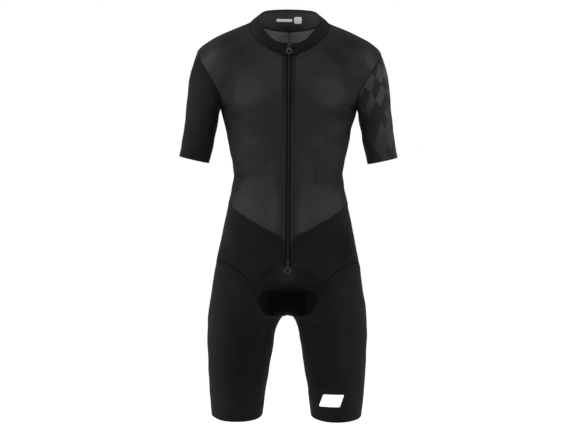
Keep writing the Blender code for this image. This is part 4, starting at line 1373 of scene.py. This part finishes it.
def add_coil():
    """The closed zip: a narrow dark bed, and two rows of teeth that meet over its middle."""
    top = collar_top(0.0)[2]
    heights = np.arange(ZIP_END + 0.6, top - 0.4, 2.0)
    points = centre_front(heights)
    out = unit(np.gradient(points, axis=0)[:, [0, 2, 1]] * [1, -1, 1])
    profile = ((-COIL_HALF, BED_EDGE), (0, BED_CROWN), (COIL_HALF, BED_EDGE))
    grid = np.stack([points + [x, 0, 0] + out * rise for x, rise in profile], axis=1)
    bed = Cloth("zip_coil", grid, wall=BED_WALL)
    made = bed.build("zip_bed", COIL_BED, COIL_BED)
    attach(made, BODY)
    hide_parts("zip_coil")
    down = relief(bed.grid, bed.normal)[:, 1]
    lots = []
    for side, shift in ((-1, 0.0), (1, TOOTH_PITCH / 2)):
        at = np.arange(ZIP_END + 1.5 + shift, top - 1.0, TOOTH_PITCH)
        normal, sunk = along_line(at, heights, out), np.interp(at, heights, down)[:, None]
        across = unit(np.cross(normal, [1, 0, 0])) * TOOTH_TILT * side + [1, 0, 0]
        place = centre_front(at) + [side * TOOTH_MIDDLE, 0, 0] + normal * (TOOTH_RISE - sunk)
        lots.append(pods(place, unit(across), normal, TOOTH_HALF, TOOTH_RADIUS))
    add_mesh("zip_teeth", lots, COIL_PLASTIC)


def finish_metal():
    for node in ("zip_slider_upper", "zip_slider_lower", "zip_pull_upper", "zip_pull_lower"):
        part = bpy.data.objects[node]
        for slot in part.material_slots:
            slot.material = GUNMETAL if "pull" in node else DARK_METAL
        bevel = part.modifiers.new("soft_edges", "BEVEL")
        bevel.width, bevel.segments = 0.25 * MM, 2
        bevel.limit_method, bevel.angle_limit = "ANGLE", math.radians(35)


OUTLINE_STEP = 2.2


def rounded(half_wide, half_high, radius, lean=0.0):
    """The outline of a rounded plate, leaning sideways by lean for each millimetre of height."""
    outline = []
    for corner, (sx, sz) in enumerate(((1, 1), (-1, 1), (-1, -1), (1, -1))):
        for turn in np.radians(90 * corner + np.linspace(0, 90, 6)):
            z = sz * (half_high - radius) + radius * math.sin(turn)
            outline.append((sx * (half_wide - radius) + radius * math.cos(turn) + lean * z, z))
    loop = np.array(outline + outline[:1])
    length = run_length(loop)
    return along_line(np.linspace(0, length[-1], int(length[-1] / OUTLINE_STEP) + 1)[:-1], length, loop)


PRINT_RINGS = (1.0, 0.97, 0.85, 0.7, 0.55, 0.4, 0.25, 0.1)
PRINT_THICKNESS, PRINT_EDGE, PRINT_SINK = 0.3, 0.02, 0.1
NEAR = 12  # how many of the cloth's points a print's point is laid on


def print_on(name, cloth, inside, middle, outline):
    """A thin plain print that lies on a piece of cloth, as seen from the front."""
    places = np.vstack([outline * share for share in PRINT_RINGS] + [[0, 0]]) + middle
    normal = cloth.normal.reshape(-1, 3) * (-1 if inside else 1)
    flat = (cloth.inner if inside else cloth.outer).reshape(-1, 3)[normal[:, 1] < -0.2]
    top, bottom = [], []
    for x, z in places:
        near = flat[np.argsort((flat[:, 0] - x) ** 2 + (flat[:, 2] - z) ** 2)[:NEAR]]
        plane = np.linalg.lstsq(np.c_[np.ones(NEAR), near[:, [0, 2]] - [x, z]], near[:, 1], rcond=None)[0]
        away = unit(np.array([plane[1], -1.0, plane[2]]))
        point = np.array([x, plane[0], z])
        top.append(point + away * (PRINT_THICKNESS if len(top) >= len(outline) else PRINT_EDGE))
        bottom.append(point - away * PRINT_SINK)
    n, last = len(outline), len(PRINT_RINGS) - 1
    after = [(i, (i + 1) % n) for i in range(n)]
    rings = [(ring * n, ring * n + n) for ring in range(last)]
    faces = [(low + i, low + j, high + j, high + i) for low, high in rings for i, j in after]
    faces += [(last * n + i, last * n + j, len(top) - 1) for i, j in after]
    faces += [tuple(len(top) + corner for corner in face[::-1]) for face in faces]
    faces += [(i, len(top) + i, len(top) + j, j) for i, j in after]
    add_mesh(name, [(np.array(top + bottom), faces)], BADGE_PRINT)


def add_prints():
    print_on("collar_badge", CLOTHS["collar"], True, (20.5, 26.5), rounded(9.2, 7.8, 3.0))
    print_on("collar_bar", CLOTHS["collar"], True, (-12.0, 26.5), rounded(19.0, 3.3, 1.2))
    print_on("leg_patch", CLOTHS["leg_band_left"], False, (103, -865), rounded(24.0, 14.5, 3.0, 0.35))


# Camera, light and floor.

CAMERA_DISTANCE = 3.3
CAMERA_HEIGHT = -0.442
CAMERA_ROLL = math.radians(-0.4)
PHOTO_WIDTH = 1.356  # width of the photo's frame at the suit's middle
FLOOR_HEIGHT = -1.5
WHITE = (1, 1, 1, 1)


def add_camera():
    data = bpy.data.cameras.new("camera")
    data.sensor_width = 36
    data.lens = data.sensor_width * CAMERA_DISTANCE / PHOTO_WIDTH
    data.shift_x = 0.5 / 577
    camera = add_object("camera", data)
    camera.location = (0, -CAMERA_DISTANCE, CAMERA_HEIGHT)
    camera.rotation_euler = (math.radians(90), CAMERA_ROLL, 0)
    bpy.context.scene.camera = camera


def add_light(name, place, size, power):
    data = bpy.data.lights.new(name, "AREA")
    data.shape = "RECTANGLE"
    data.size, data.size_y = size
    data.energy = power
    light = add_object(name, data)
    light.location = place
    light.rotation_euler = (Vector((0, 0, -0.45)) - Vector(place)).to_track_quat("-Z", "Y").to_euler()


def add_studio():
    world = bpy.data.worlds.new("studio")
    world.use_nodes = True
    background = world.node_tree.nodes["Background"].inputs
    background["Color"].default_value, background["Strength"].default_value = WHITE, 1.0
    bpy.context.scene.world = world
    bpy.context.scene.view_settings.view_transform = "Standard"
    add_light("left_softbox", (-2.4, -0.5, 0.2), (1.6, 2.4), 110)
    add_light("right_softbox", (2.4, -0.5, 0.2), (1.6, 2.4), 85)
    add_light("top_softbox", (0, 0.15, 2.4), (1.8, 1.2), 50)
    bpy.ops.mesh.primitive_plane_add(size=60, location=(0, 0, FLOOR_HEIGHT))
    floor = bpy.context.object
    floor.name = "floor"
    paper = Nodes("floor_paper").shade(Base_Color=WHITE, Roughness=1.0, Specular_IOR_Level=0.0)
    floor.data.materials.append(paper)


add_camera()
dress_suit()
sew_suit()
add_coil()
finish_metal()
add_prints()
add_studio()
